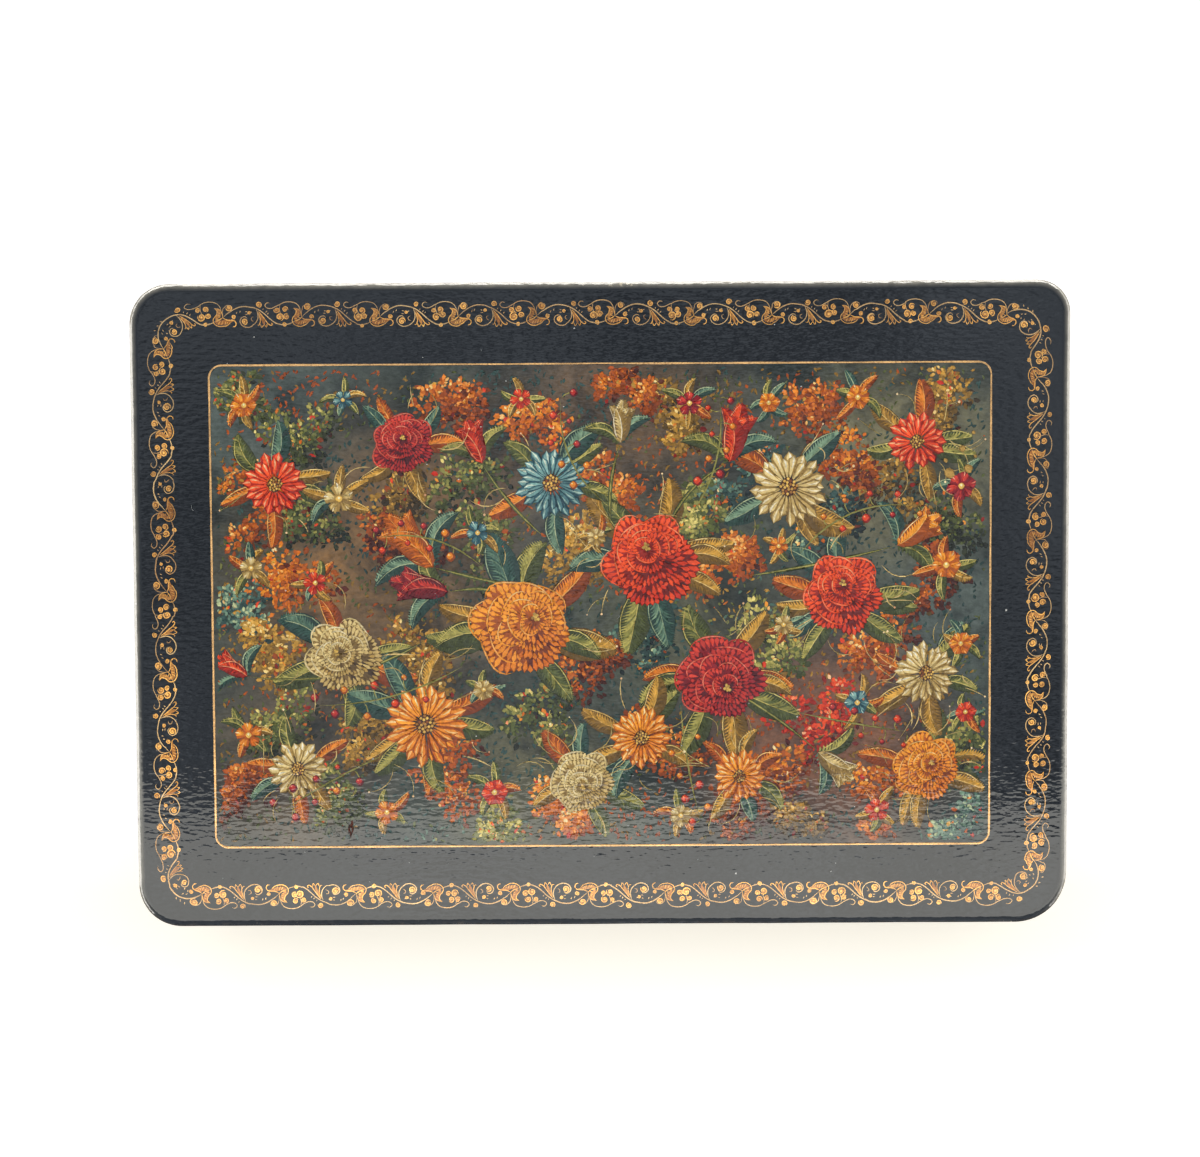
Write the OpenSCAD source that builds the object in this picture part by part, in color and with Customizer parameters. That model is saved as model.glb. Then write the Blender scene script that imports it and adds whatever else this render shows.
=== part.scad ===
// Hinged lacquer box of papier-mache: wound walls between two pressed boards, a brass barrel
// hinge let into the back seam, and a lid with a painted panel inside a gold vine border.
// The box lies on its base. Origin: centre of the base's underside. +X width, +Y to the hinge, +Z up.

/* [Boards] */
// Width of the lid and base boards
board_w = 190; // [150:1:240]
// Depth of the lid and base boards, front to back
board_d = 131; // [110:1:180]
// Thickness of the base board
base_t = 4; // [3:0.5:8]
// Thickness of the lid board
lid_t = 5; // [4:0.5:9]
// How far the boards stand proud of the walls
overhang = 1.5; // [1:0.1:3]
// Rounding of the lid board's upper edge
lid_top_r = 2; // [1:0.25:2]
// Rounding of the lid board's lower edge and the base board's upper edge
inner_edge_r = 1; // [0.5:0.25:1.25]
// Rounding of the base board's lower edge
base_foot_r = 1.5; // [0.5:0.25:1.5]

/* [Walls] */
// Height of the wall between the base board and the seam
wall_h = 34; // [22:1:70]
// Height of the lid frame between the seam and the lid board
frame_h = 7; // [6:0.5:20]
// Thickness of the wound wall
wall_t = 4; // [3.8:0.1:7]
// Thickness of the thin sleeve inside the wall
sleeve_t = 1.2; // [0.8:0.1:2.5]
// How far the sleeve stands above the seam
sleeve_rise = 3; // [1.5:0.25:4.5]
// Inside corner radius of the sleeve, set by the winding mandrel
mandrel_r = 1.3; // [0.8:0.1:6]
// Gap at the seam between the closed lid and the wall
seam_gap = 0.2; // [0.1:0.05:0.4]
// Gap between the sleeve and the lid frame
lid_clearance = 0.3; // [0.2:0.05:0.6]
// Rounding of the outer edges on both sides of the seam
seam_ease = 0.5; // [0.2:0.1:1.2]

/* [Hinge] */
// Length of the hinge along the back seam
hinge_len = 60; // [40:1:90]
// Number of knuckles, the odd ones on the body
knuckles = 5; // [3:2:9]
// Gap between neighbouring knuckles
knuckle_gap = 0.2; // [0.1:0.05:0.5]
// Diameter of the steel pin
pin_d = 1.4; // [1:0.1:1.8]
// Radial running clearance of the pin in the knuckles
pin_clearance = 0.05; // [0.02:0.01:0.1]
// Thickness of the brass leaves
leaf_t = 0.6; // [0.4:0.05:0.8]
// Depth of the body leaf below the axis
body_leaf_h = 11; // [8:0.5:16]
// Height of the lid leaf above the axis
lid_leaf_h = 6.2; // [5:0.1:6.2]
// Clearance between the turning knuckles and the channel they lie in
barrel_clearance = 0.3; // [0.2:0.05:0.5]
// Glue gap round a leaf in its slot
leaf_fit = 0.05; // [0.02:0.01:0.15]
// How far the lid opens, in degrees
open_angle = 100; // [80:1:110]
// Spare angle left between the stop faces when the lid is fully open
stop_spare = 4; // [2:0.5:8]
// How far the hinge axis lies inside the wall's back face
axis_inset = 1.5; // [1.5:0.1:1.9]

/* [Cross pins] */
// Diameter of the brass cross pins
cross_pin_d = 1.2; // [0.8:0.1:1.6]
// Clearance round a cross pin in its hole
cross_pin_fit = 0.03; // [0.01:0.01:0.1]
// Length of a cross pin
cross_pin_len = 2.9; // [2.4:0.1:3]
// Distance between neighbouring cross pins
cross_pin_pitch = 24; // [12:1:28]
// Depth of the body cross pins below the axis
body_pin_drop = 6; // [4:0.5:7]
// Height of the lid cross pins above the axis
lid_pin_rise = 4; // [3.2:0.1:4.6]

/* [Lid painting] */
// Thickness of the paint layers
paint_t = 0.1; // [0.05:0.05:0.3]
// Lid left bare between the panel and the board's left and right edges
panel_end = 16.3; // [12:0.1:40]
// Lid left bare between the panel and the board's front and back edges
panel_side = 16.7; // [12:0.1:35]
// Corner radius of the painted panel
panel_r = 2.3; // [1:0.1:6]
// Width of the gold line round the panel
line_w = 0.4; // [0.3:0.1:1.5]
// Gap between the panel and the gold line
line_gap = 0.05; // [0.02:0.01:0.5]

/* [Vine border] */
// Distance of the vine's middle line from the board's edge
vine_inset = 6.5; // [4.5:0.1:7.5]
// Radius of the vine's middle line at the corners
vine_turn_r = 7.5; // [6:0.1:12]
// Repeats of the vine along a long side, with one corner
vine_long = 11; // [8:1:14]
// Repeats of the vine along a short side, with one corner
vine_short = 7; // [5:1:9]
// Width of the vine's stem
stem_w = 0.34; // [0.25:0.01:0.5]
// Width of the scroll and tendril strokes
scroll_w = 0.28; // [0.2:0.01:0.4]
// Size of the berries
berry_r = 0.55; // [0.3:0.05:0.65]

/* [Hidden] */
$fn = 48;
wall_w = board_w - 2 * overhang;
wall_d = board_d - 2 * overhang;
wall_r = mandrel_r + sleeve_t + wall_t;
board_r = wall_r + overhang;
seam_z = base_t + wall_h;
lid_z = seam_z + frame_h;
top_z = lid_z + lid_t;
frame_t = wall_t - lid_clearance;
back_y = wall_d / 2;
axis_y = back_y - axis_inset;
bore_r = pin_d / 2 + pin_clearance;
barrel_r = bore_r + leaf_t;
channel_r = barrel_r + barrel_clearance;
leaf_y = axis_y - barrel_r;
knuckle_pitch = (hinge_len + knuckle_gap) / knuckles;
knuckle_len = knuckle_pitch - knuckle_gap;
stop_angle = (open_angle + stop_spare) / 2;
past = 1; // how far a cut runs past the face it opens
panel_w = board_w - 2 * panel_end;
panel_d = board_d - 2 * panel_side;
line_outer_w = panel_w + 2 * (line_gap + line_w);
line_outer_d = panel_d + 2 * (line_gap + line_w);

// ---------- shared shapes ----------

// A rectangle with true round corners, centred.
module round_rect(w, d, r) {
    square([w, d - 2 * r], center = true);
    square([w - 2 * r, d], center = true);
    for (x = [-1, 1], y = [-1, 1])
        translate([x * (w / 2 - r), y * (d / 2 - r)]) circle(r);
}

// Sweeps a section round the outline w by d with corner radius r, in true curves. The section lies
// at x <= 0, from the outline inwards, and its y is the height.
module sweep_outline(w, d, r) {
    for (turn = [0, 180])
        rotate([0, 0, turn]) straight_sweep(w - 2 * r, d / 2) children();
    for (turn = [90, 270])
        rotate([0, 0, turn]) straight_sweep(d - 2 * r, w / 2) children();
    for (corner = [[1, 1, 0], [-1, 1, 90], [-1, -1, 180], [1, -1, 270]])
        translate([corner.x * (w / 2 - r), corner.y * (d / 2 - r), 0])
            rotate([0, 0, corner.z])
                rotate_extrude(angle = 90) translate([r, 0]) children();
}

// A section swept along X over len, its outline at y = at.
module straight_sweep(len, at) {
    translate([-len / 2, at, 0]) rotate([90, 0, 90]) linear_extrude(len) children();
}

// The section of a wound wall, its outer edge at the seam eased.
module wall_section(t, h) {
    translate([-t, 0]) square([t, h - seam_ease]);
    translate([-t, 0]) square([t - seam_ease, h]);
    translate([-seam_ease, h - seam_ease]) circle(seam_ease);
}

// The section of the sleeve, its upper edge half-round so that the lid finds its place.
module sleeve_section(t, h) {
    translate([-t, 0]) square([t, h - t / 2]);
    translate([-t / 2, h - t / 2]) circle(t / 2);
}

// The section of a pressed board's edge, from x = 0 out to x = reach, rounded above and below.
module edge_section(reach, t, top_r, low_r) {
    square([reach - max(top_r, low_r), t]);
    translate([0, low_r]) square([reach, t - top_r - low_r]);
    translate([0, t / 2]) square([reach - top_r, t / 2]);
    square([reach - low_r, t / 2]);
    translate([reach - top_r, t - top_r]) circle(top_r);
    translate([reach - low_r, low_r]) circle(low_r);
}

// A pressed board with softly rounded edges and corners, standing on z = 0.
module soft_board(w, d, t, r, top_r, low_r) {
    translate([r - w / 2, r - d / 2, 0]) cube([w - 2 * r, d - 2 * r, t]);
    for (x = [-1, 1], y = [-1, 1])
        translate([x * (w / 2 - r), y * (d / 2 - r), 0])
            rotate_extrude() edge_section(r, t, top_r, low_r);
    for (turn = [0, 180])
        rotate([0, 0, turn]) edge_bar(w - 2 * r, d / 2 - r, r, t, top_r, low_r);
    for (turn = [90, 270])
        rotate([0, 0, turn]) edge_bar(d - 2 * r, w / 2 - r, r, t, top_r, low_r);
}

// One straight edge of a board, along X at the +Y side, starting at y = from.
module edge_bar(len, from, reach, t, top_r, low_r) {
    translate([-len / 2, from, 0])
        rotate([90, 0, 90])
            linear_extrude(len) edge_section(reach, t, top_r, low_r);
}

// ---------- hinge ----------

// Everything the hinge needs cut out of the wall (side = -1) or the lid frame (side = 1):
// the chamfer that becomes the stop, the barrel's channel, the leaf's slot and the pin holes.
module hinge_cuts(side, leaf_h, pin_z, inner_y) {
    reach = axis_inset + overhang + past;
    translate([-board_w / 2, axis_y, seam_z])
        rotate([90, 0, 90])
            linear_extrude(board_w)
                polygon([
                    [0, -side * past], [0, 0],
                    [reach, side * reach * tan(stop_angle)], [reach, -side * past]
                ]);
    translate([-hinge_len / 2 - barrel_clearance, axis_y, seam_z])
        rotate([0, 90, 0]) cylinder(r = channel_r, h = hinge_len + 2 * barrel_clearance);
    translate([-hinge_len / 2 - leaf_fit, leaf_y - leaf_fit, seam_z + (side < 0 ? -leaf_h - leaf_fit : 0)])
        cube([hinge_len + 2 * leaf_fit, leaf_t + 2 * leaf_fit, leaf_h + leaf_fit]);
    cross_pins(side * pin_z, inner_y - past, cross_pin_len + past + cross_pin_fit, cross_pin_fit);
}

// Three pins along Y at height z from the axis, starting at y = from.
module cross_pins(z, from, len, grow) {
    for (i = [-1, 0, 1])
        translate([i * cross_pin_pitch, from, seam_z + z])
            rotate([-90, 0, 0]) cylinder(d = cross_pin_d + 2 * grow, h = len);
}

// A leaf with its rolled knuckles. side = -1 hangs into the wall and has the odd knuckles,
// side = 1 stands into the lid frame and has the even ones.
module hinge_leaf(side, leaf_h, pin_z) {
    first = side < 0 ? 0 : 1;
    difference() {
        union() {
            translate([-hinge_len / 2, leaf_y, seam_z + (side < 0 ? -leaf_h : channel_r)])
                cube([hinge_len, leaf_t, leaf_h - channel_r]);
            for (k = [first : 2 : knuckles - 1])
                translate([k * knuckle_pitch - hinge_len / 2, 0, 0]) knuckle(side);
        }
        translate([-hinge_len / 2 - past, axis_y, seam_z])
            rotate([0, 90, 0]) cylinder(r = bore_r, h = hinge_len + 2 * past);
        cross_pins(side * pin_z, leaf_y - past, leaf_t + 2 * past, cross_pin_fit);
    }
}

// One rolled knuckle: the barrel, and the tongue that runs from its side into the leaf.
module knuckle(side) {
    translate([0, axis_y, seam_z]) rotate([0, 90, 0]) cylinder(r = barrel_r, h = knuckle_len);
    translate([0, leaf_y, seam_z + (side < 0 ? -channel_r - past : 0)])
        cube([knuckle_len, leaf_t, channel_r + past]);
}

// ---------- vine border ----------

// The vine runs anticlockwise round the lid. d is the way along one side's middle line, from the
// end of the corner before it, and t is the distance towards the lid's middle.
function on_side(run, d, t) =
    let (flat = min(max(d, 0), run), turn = (d - flat) / vine_turn_r * 180 / PI)
    [flat + (vine_turn_r - t) * sin(turn), vine_turn_r - (vine_turn_r - t) * cos(turn)];

// Unit direction of a stroke at its i-th point.
function heading(p, i) =
    let (v = p[min(i + 1, len(p) - 1)] - p[max(i - 1, 0)]) v / norm(v);

// How full a stroke is at its i-th point: drawn to a point at both ends.
function fullness(p, i) = 0.35 + 0.65 * sin(180 * (i + 0.3) / (len(p) - 0.4));

// The outline of a brush stroke of width w through the points p.
function stroke_outline(p, w) = [
    for (i = [0 : len(p) - 1])
        let (n = heading(p, i)) p[i] + [-n.y, n.x] * w / 2 * fullness(p, i),
    for (i = [len(p) - 1 : -1 : 0])
        let (n = heading(p, i)) p[i] - [-n.y, n.x] * w / 2 * fullness(p, i)
];

// A smooth curve through the points p, with n steps from each to the next.
function through(p, n) = [
    for (i = [0 : len(p) - 2], j = [0 : n - 1])
        between(p[max(i - 1, 0)], p[i], p[i + 1], p[min(i + 2, len(p) - 1)], j / n),
    p[len(p) - 1]
];

// The same for a closed outline.
function around(p, n) = [
    for (i = [0 : len(p) - 1], j = [0 : n - 1])
        between(p[(i + len(p) - 1) % len(p)], p[i], p[(i + 1) % len(p)], p[(i + 2) % len(p)], j / n)
];

// The point a share s of the way from b to c, on a curve that also looks to a and e.
function between(a, b, c, e, s) =
    b + s / 2 * ((c - a) + s * ((2 * a - 5 * b + 4 * c - e) + s * (3 * b - a - 3 * c + e)));

// Points of a scroll: a spiral round c from radius r1 to r2, between the angles a1 and a2.
function scroll(c, r1, r2, a1, a2, steps) = [
    for (i = [0 : steps])
        let (a = a1 + (a2 - a1) * i / steps, r = r1 + (r2 - r1) * i / steps)
        c + r * [cos(a), sin(a)]
];

// The length along the border that one repeat is drawn for, before it is fitted to its side.
vine_pitch = 15.9;
// The first leaf sits this far before the end of the corner.
vine_lead = 1.2;

// The main stem of one repeat: up over the leaf, down past the flower and along the low side.
stem_points = [
    [1.6, 1], [3.3, 1.9], [5, 1.7], [6.6, 0.6], [8.3, -0.9], [10, -1.75], [11.8, -1.95],
    [13.6, -1.4], [15.4, 0]
];
// The low stroke that carries the berries, ending in a small curl.
tendril_points = [
    [0.5, -0.9], [1.3, -2.3], [3, -2.7], [4.7, -2], [6.2, -1], [7, -1.5], [6.3, -2.1]
];
// The leaf: a hooked upper lobe and a lobe that falls from its end.
upper_lobe = [
    [0.3, 0.7], [-0.5, 1.1], [-1.2, 1.1], [-1.4, 1.9], [-2, 1.9], [-1.9, 0.9], [-0.9, 0.4], [0.3, 0.2]
];
crest_lobe = [
    [0.6, 0.9], [0.2, 1.6], [1.2, 2.1], [2, 1.5], [1.9, 0.7], [1.3, -0.1], [1.2, -0.8],
    [1.7, -1.4], [0.7, -1], [0.5, 0.1]
];
// The flower: a slim trumpet that opens towards the lid's middle.
flower = [
    [8.6, -0.5], [7.5, 0.6], [6.7, 1.7], [6.2, 2.2], [7, 2.1], [7.3, 2.6], [7.7, 2], [8.5, 2.1],
    [8.1, 1.5], [8.3, 0.4]
];
// Berries: place and share of the berry's size.
berries = [
    [3.8, 0.5, 1], [5.2, 0.25, 1.2], [4, -1, 1.2], [7.9, -1.9, 0.9], [11.5, 0.7, 1.1], [-1.1, -1.8, 1.2],
    [13.7, 0.2, 0.7]
];

// The scroll beside the flower: its middle, its outer and inner radius, and the angles it turns through.
scroll_mid = [11.1, 0.4];
scroll_outer_r = 2.05;
scroll_inner_r = 1.2;
scroll_from = 205;
scroll_to = -100;
scroll_steps = 12;

// One repeat of the vine, with its first leaf at distance d along a side of straight length run.
module vine_repeat(run, d, stretch) {
    strokes = [
        [through(stem_points, 2), stem_w],
        [through(tendril_points, 2), scroll_w],
        [scroll(scroll_mid, scroll_outer_r, scroll_inner_r, scroll_from, scroll_to, scroll_steps), scroll_w]
    ];
    for (s = strokes)
        polygon(stroke_outline([for (p = s[0]) on_side(run, d + p.x * stretch, p.y)], s[1]));
    for (shape = [around(upper_lobe, 2), around(crest_lobe, 2), flower])
        polygon([for (p = shape) on_side(run, d + p.x * stretch, p.y)]);
    for (b = berries)
        translate(on_side(run, d + b.x * stretch, b.y)) circle(berry_r * b.z, $fn = 16);
}

// The vine along one side of straight length run, its middle line from [0, 0] along X.
module vine_side(run, repeats) {
    unit = (run + vine_turn_r * PI / 2) / repeats;
    for (i = [0 : repeats - 1])
        vine_repeat(run, i * unit - vine_lead, unit / vine_pitch);
}

// ---------- sub-parts ----------

// Pressed plate glued under the walls; the box rests on it.
module base_board() {
    color("#241f20") soft_board(board_w, board_d, base_t, board_r, inner_edge_r, base_foot_r);
}

// The four walls, wound from pasted paper in one piece and glued to the base board.
module wall() {
    color("#1c1d20")
        difference() {
            translate([0, 0, base_t])
                sweep_outline(wall_w, wall_d, wall_r) wall_section(wall_t, wall_h - seam_gap / 2);
            hinge_cuts(-1, body_leaf_h, body_pin_drop, back_y - wall_t);
        }
}

// Thin wound sleeve glued inside the wall. It stands above the seam and locates the lid.
module rim_sleeve() {
    color("#a3261b")
        translate([0, 0, base_t])
            sweep_outline(wall_w - 2 * wall_t, wall_d - 2 * wall_t, wall_r - wall_t)
                sleeve_section(sleeve_t, wall_h + sleeve_rise);
}

// Brass leaf let into the back wall, with the outer and middle knuckles.
module hinge_leaf_body() {
    color("#b08d3e") hinge_leaf(-1, body_leaf_h, body_pin_drop);
}

// Pins driven through the wall and the body leaf before the sleeve is glued in.
module body_leaf_pins() {
    color("#c7a24c") cross_pins(-body_pin_drop, back_y - wall_t, cross_pin_len, 0);
}

// Steel wire through all the knuckles.
module hinge_pin() {
    color("#8d9094")
        translate([-hinge_len / 2, axis_y, seam_z])
            rotate([0, 90, 0]) cylinder(d = pin_d, h = hinge_len);
}

// Wound ring glued under the lid board; it comes down over the sleeve to the seam.
module lid_frame() {
    color("#1c1d20")
        difference() {
            translate([0, 0, lid_z])
                mirror([0, 0, 1])
                    sweep_outline(wall_w, wall_d, wall_r)
                        wall_section(frame_t, frame_h - seam_gap / 2);
            hinge_cuts(1, lid_leaf_h, lid_pin_rise, back_y - frame_t);
        }
}

// Pressed plate, the top of the lid.
module lid_board() {
    color("#33383e")
        translate([0, 0, lid_z]) soft_board(board_w, board_d, lid_t, board_r, lid_top_r, inner_edge_r);
}

// Brass leaf let into the lid frame, with the knuckles between the body's.
module hinge_leaf_lid() {
    color("#b08d3e") hinge_leaf(1, lid_leaf_h, lid_pin_rise);
}

// Pins driven through the lid frame and the lid leaf from inside.
module lid_leaf_pins() {
    color("#c7a24c") cross_pins(lid_pin_rise, back_y - frame_t, cross_pin_len, 0);
}

// The painted field in the middle of the lid.
module painted_panel() {
    color("#5d6b5c")
        translate([0, 0, top_z]) linear_extrude(paint_t) round_rect(panel_w, panel_d, panel_r);
}

// Gold line drawn round the painted field.
module gold_frame_line() {
    color("#d8a86c")
        translate([0, 0, top_z])
            linear_extrude(paint_t)
                difference() {
                    round_rect(line_outer_w, line_outer_d, panel_r + line_gap + line_w);
                    round_rect(line_outer_w - 2 * line_w, line_outer_d - 2 * line_w, panel_r + line_gap);
                }
}

// Gold scroll vine: stem, scrolls, leaves, flowers and berries, in repeats round the lid.
module gold_vine_border() {
    run_x = board_w - 2 * (vine_inset + vine_turn_r);
    run_y = board_d - 2 * (vine_inset + vine_turn_r);
    color("#d3a05a")
        translate([0, 0, top_z])
            linear_extrude(paint_t) {
                for (turn = [0, 180])
                    rotate(turn) translate([-run_x / 2, vine_inset - board_d / 2]) vine_side(run_x, vine_long);
                for (turn = [90, 270])
                    rotate(turn) translate([-run_y / 2, vine_inset - board_w / 2]) vine_side(run_y, vine_short);
            }
}

base_board();
wall();
rim_sleeve();
hinge_leaf_body();
body_leaf_pins();
hinge_pin();
lid_frame();
lid_board();
hinge_leaf_lid();
lid_leaf_pins();
painted_panel();
gold_frame_line();
gold_vine_border();
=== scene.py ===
import math
import random

import bmesh
import bpy
from mathutils import Matrix, Vector


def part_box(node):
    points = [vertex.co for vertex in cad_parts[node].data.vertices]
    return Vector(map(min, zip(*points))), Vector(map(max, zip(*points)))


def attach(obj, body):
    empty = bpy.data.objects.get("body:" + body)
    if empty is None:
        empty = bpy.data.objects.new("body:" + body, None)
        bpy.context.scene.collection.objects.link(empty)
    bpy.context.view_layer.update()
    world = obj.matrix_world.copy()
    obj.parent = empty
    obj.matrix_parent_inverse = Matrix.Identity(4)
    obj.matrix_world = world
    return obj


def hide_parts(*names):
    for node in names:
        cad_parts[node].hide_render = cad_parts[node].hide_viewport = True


# Flat lacquer box of papier-mache: black outside, cinnabar red inside, with a gold vine border and
# a tempera painting under clear varnish on its lid. Metres, +Z up, the hinge at +Y.

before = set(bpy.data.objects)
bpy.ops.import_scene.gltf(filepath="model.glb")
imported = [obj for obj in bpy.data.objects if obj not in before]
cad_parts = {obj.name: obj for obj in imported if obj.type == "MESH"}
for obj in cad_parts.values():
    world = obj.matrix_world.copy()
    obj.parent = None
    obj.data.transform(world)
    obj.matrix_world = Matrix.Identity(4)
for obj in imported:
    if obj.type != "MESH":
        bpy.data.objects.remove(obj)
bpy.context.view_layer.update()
mm = 0.001


# ---------- Base board ----------
# A plate pressed from layers of paper and paste, boiled in oil, primed and lacquered black. The
# walls are glued on it, and the floor inside them is cinnabar red.

def linear(srgb):
    """An sRGB hex colour as the linear colour that shaders and attributes hold."""
    shares = [(srgb >> shift & 255) / 255 for shift in (16, 8, 0)]
    return [s / 12.92 if s <= 0.04045 else ((s + 0.055) / 1.055) ** 2.4 for s in shares] + [1]


def add_node(tree, kind, values={}):
    """Adds a node. A value that is a socket is linked to the input, and any other is set."""
    node = tree.nodes.new("ShaderNode" + kind)
    for key, value in values.items():
        if isinstance(value, bpy.types.NodeSocket):
            tree.links.new(value, node.inputs[key])
        elif isinstance(key, str) and hasattr(node, key):
            setattr(node, key, value)
        else:
            node.inputs[key].default_value = value
    return node


def new_finish(name, settings):
    """A material of one shader with these inputs; returns it with its tree and shader."""
    material = bpy.data.materials.new(name)
    material.use_nodes = True
    shader = material.node_tree.nodes["Principled BSDF"]
    for key, value in settings.items():
        shader.inputs[key].default_value = value
    return material, material.node_tree, shader


# Clear oil varnish over everything on the box: no gloss of its own below it, and a hard skin.
varnished = {
    "Specular IOR Level": 0, "Roughness": 0.5,
    "Coat Weight": 1, "Coat IOR": 1.5, "Coat Roughness": 0.03,
}
ripple_width = 0.85 * mm
ripple_height = 0.045 * mm
ripple_stretch = 0.42
swell_width = 8 * mm
swell_height = 0.03 * mm


def brushed_varnish(tree, shader, place):
    """The skin of the varnish: brushed on along X, it dries to shallow swells and a fine ripple,
    which break up the edges of all that it mirrors."""
    brushed = add_node(tree, "Mapping", {"Vector": place, "Scale": (ripple_stretch, 1, 1)})
    swell = add_node(tree, "TexNoise", {
        "Vector": brushed.outputs[0], "Scale": 1 / swell_width, "Detail": 1})
    ripple = add_node(tree, "TexNoise", {
        "Vector": brushed.outputs[0], "Scale": 1 / ripple_width, "Detail": 1.6, "Roughness": 0.5})
    low = add_node(tree, "Bump", {"Height": swell.outputs["Fac"], "Distance": swell_height})
    skin = add_node(tree, "Bump", {
        "Height": ripple.outputs["Fac"], "Distance": ripple_height, "Normal": low.outputs[0]})
    tree.links.new(skin.outputs[0], shader.inputs["Normal"])
    tree.links.new(skin.outputs[0], shader.inputs["Coat Normal"])


lacquer_black = linear(0x080E15)
lacquer_cloud = linear(0x10151B)
cloud_width = 22 * mm
# Real dust is finer: a speck is drawn this large so that it shows.
dust_grey = linear(0xD9D8D0)
dust_spacing = 5.5 * mm
dust_size = 0.2 * mm
dustless_share = 0.72


def dusty(tree, place, colour):
    """The colour with the few pale specks of dust that settled in the varnish."""
    cell = add_node(tree, "TexVoronoi", {"Vector": place, "Scale": 1 / dust_spacing})
    near = add_node(tree, "MapRange", {
        "interpolation_type": "SMOOTHSTEP", "Value": cell.outputs["Distance"],
        "From Min": 1.3 * dust_size / dust_spacing, "From Max": 0.6 * dust_size / dust_spacing})
    cell_value = add_node(tree, "SeparateColor", {"Color": cell.outputs["Color"]})
    chosen = add_node(tree, "Math", {
        "operation": "GREATER_THAN", 0: cell_value.outputs["Red"], 1: dustless_share})
    speck = add_node(tree, "Math", {
        "operation": "MULTIPLY", 0: near.outputs[0], 1: chosen.outputs[0]})
    return add_node(tree, "Mix", {
        "data_type": "RGBA", 0: speck.outputs[0], 6: colour, 7: dust_grey}).outputs[2]


cinnabar = linear(0xA5271A)
cinnabar_deep = linear(0x8E2017)
cinnabar_coat_width = 14 * mm
red_soft = 0.1 * mm


def cinnabar_colour(tree, place):
    """Cinnabar red, brushed in two coats that don't cover quite evenly."""
    coats = add_node(tree, "TexNoise", {
        "Vector": place, "Scale": 1 / cinnabar_coat_width, "Detail": 4})
    share = add_node(tree, "MapRange", {
        "interpolation_type": "SMOOTHSTEP", "Value": coats.outputs["Fac"],
        "From Min": 0.3, "From Max": 0.7})
    return add_node(tree, "Mix", {
        "data_type": "RGBA", 0: share.outputs[0], 6: cinnabar, 7: cinnabar_deep}).outputs[2]


def red_inside(tree, place, colour, red_box):
    """The colour with cinnabar inside a box round the z axis: half width, half depth, lowest and
    highest point, where the inner faces of the pressed and wound paper are painted red."""
    half_w, half_d, low, high = red_box
    at = add_node(tree, "SeparateXYZ", {"Vector": place})
    across = add_node(tree, "Math", {"operation": "ABSOLUTE", 0: at.outputs["X"]})
    deep = add_node(tree, "Math", {"operation": "ABSOLUTE", 0: at.outputs["Y"]})
    share = None
    for value, outside, inside in (
            (across.outputs[0], half_w, half_w - red_soft),
            (deep.outputs[0], half_d, half_d - red_soft),
            (at.outputs["Z"], low - red_soft, low), (at.outputs["Z"], high + red_soft, high)):
        within = add_node(tree, "MapRange", {
            "Value": value, "From Min": outside, "From Max": inside}).outputs[0]
        share = add_node(tree, "Math", {
            "operation": "MULTIPLY", 0: within, 1: share}).outputs[0] if share else within
    return add_node(tree, "Mix", {
        "data_type": "RGBA", 0: share, 6: colour, 7: cinnabar_colour(tree, place)}).outputs[2]


def lacquer_cloudiness(tree, place):
    """The deep, faintly blue black of several polished coats, a little uneven."""
    cloud = add_node(tree, "TexNoise", {"Vector": place, "Scale": 1 / cloud_width, "Detail": 3})
    share = add_node(tree, "MapRange", {
        "Value": cloud.outputs["Fac"], "From Min": 0.35, "From Max": 0.75})
    return add_node(tree, "Mix", {
        "data_type": "RGBA", 0: share.outputs[0], 6: lacquer_black, 7: lacquer_cloud}).outputs[2]


def black_lacquer(name, red_box=None):
    """Oil lacquer, black, with the part in red_box painted cinnabar red."""
    material, tree, shader = new_finish(name, varnished)
    place = add_node(tree, "TexCoord").outputs["Object"]
    colour = lacquer_cloudiness(tree, place)
    if red_box:
        colour = red_inside(tree, place, colour, red_box)
    tree.links.new(dusty(tree, place, colour), shader.inputs["Base Color"])
    brushed_varnish(tree, shader, place)
    return material


def half_inside(node, inset):
    """Half the width and depth of what lies this far inside a node's outer faces."""
    low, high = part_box(node)
    return (high[0] - low[0]) / 2 - inset, (high[1] - low[1]) / 2 - inset


# The red reaches under the sleeve to the middle of its thickness, and a little into each face.
under_sleeve = 0.6 * mm
red_in = 0.2 * mm
red_out = 1 * mm
sleeve_half_w, sleeve_half_d = half_inside("rim_sleeve", under_sleeve)
floor_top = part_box("base_board")[1].z
red_floor = (sleeve_half_w, sleeve_half_d, floor_top - red_in, floor_top + red_out)
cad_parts["base_board"].material_slots[0].material = black_lacquer(
    "black_oil_lacquer_base", red_floor)


# ---------- Walls ----------
# Paper wound on a mandrel with paste, pressed and boiled in oil: the four walls are one piece,
# lacquered black outside, and their upper edge is the seam under the lid.
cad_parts["wall"].material_slots[0].material = black_lacquer("black_oil_lacquer_wall")


# ---------- Rim sleeve ----------
# A thin wound sleeve glued inside the walls. It stands 3 mm above the seam, locates the lid and
# is painted cinnabar red with the rest of the inside.

def cinnabar_lacquer(name):
    """Oil lacquer with cinnabar: an even red with a warm depth, glossy as the outside."""
    material, tree, shader = new_finish(name, varnished)
    place = add_node(tree, "TexCoord").outputs["Object"]
    red = dusty(tree, place, cinnabar_colour(tree, place))
    tree.links.new(red, shader.inputs["Base Color"])
    brushed_varnish(tree, shader, place)
    return material


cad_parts["rim_sleeve"].material_slots[0].material = cinnabar_lacquer("cinnabar_oil_lacquer")


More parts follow.
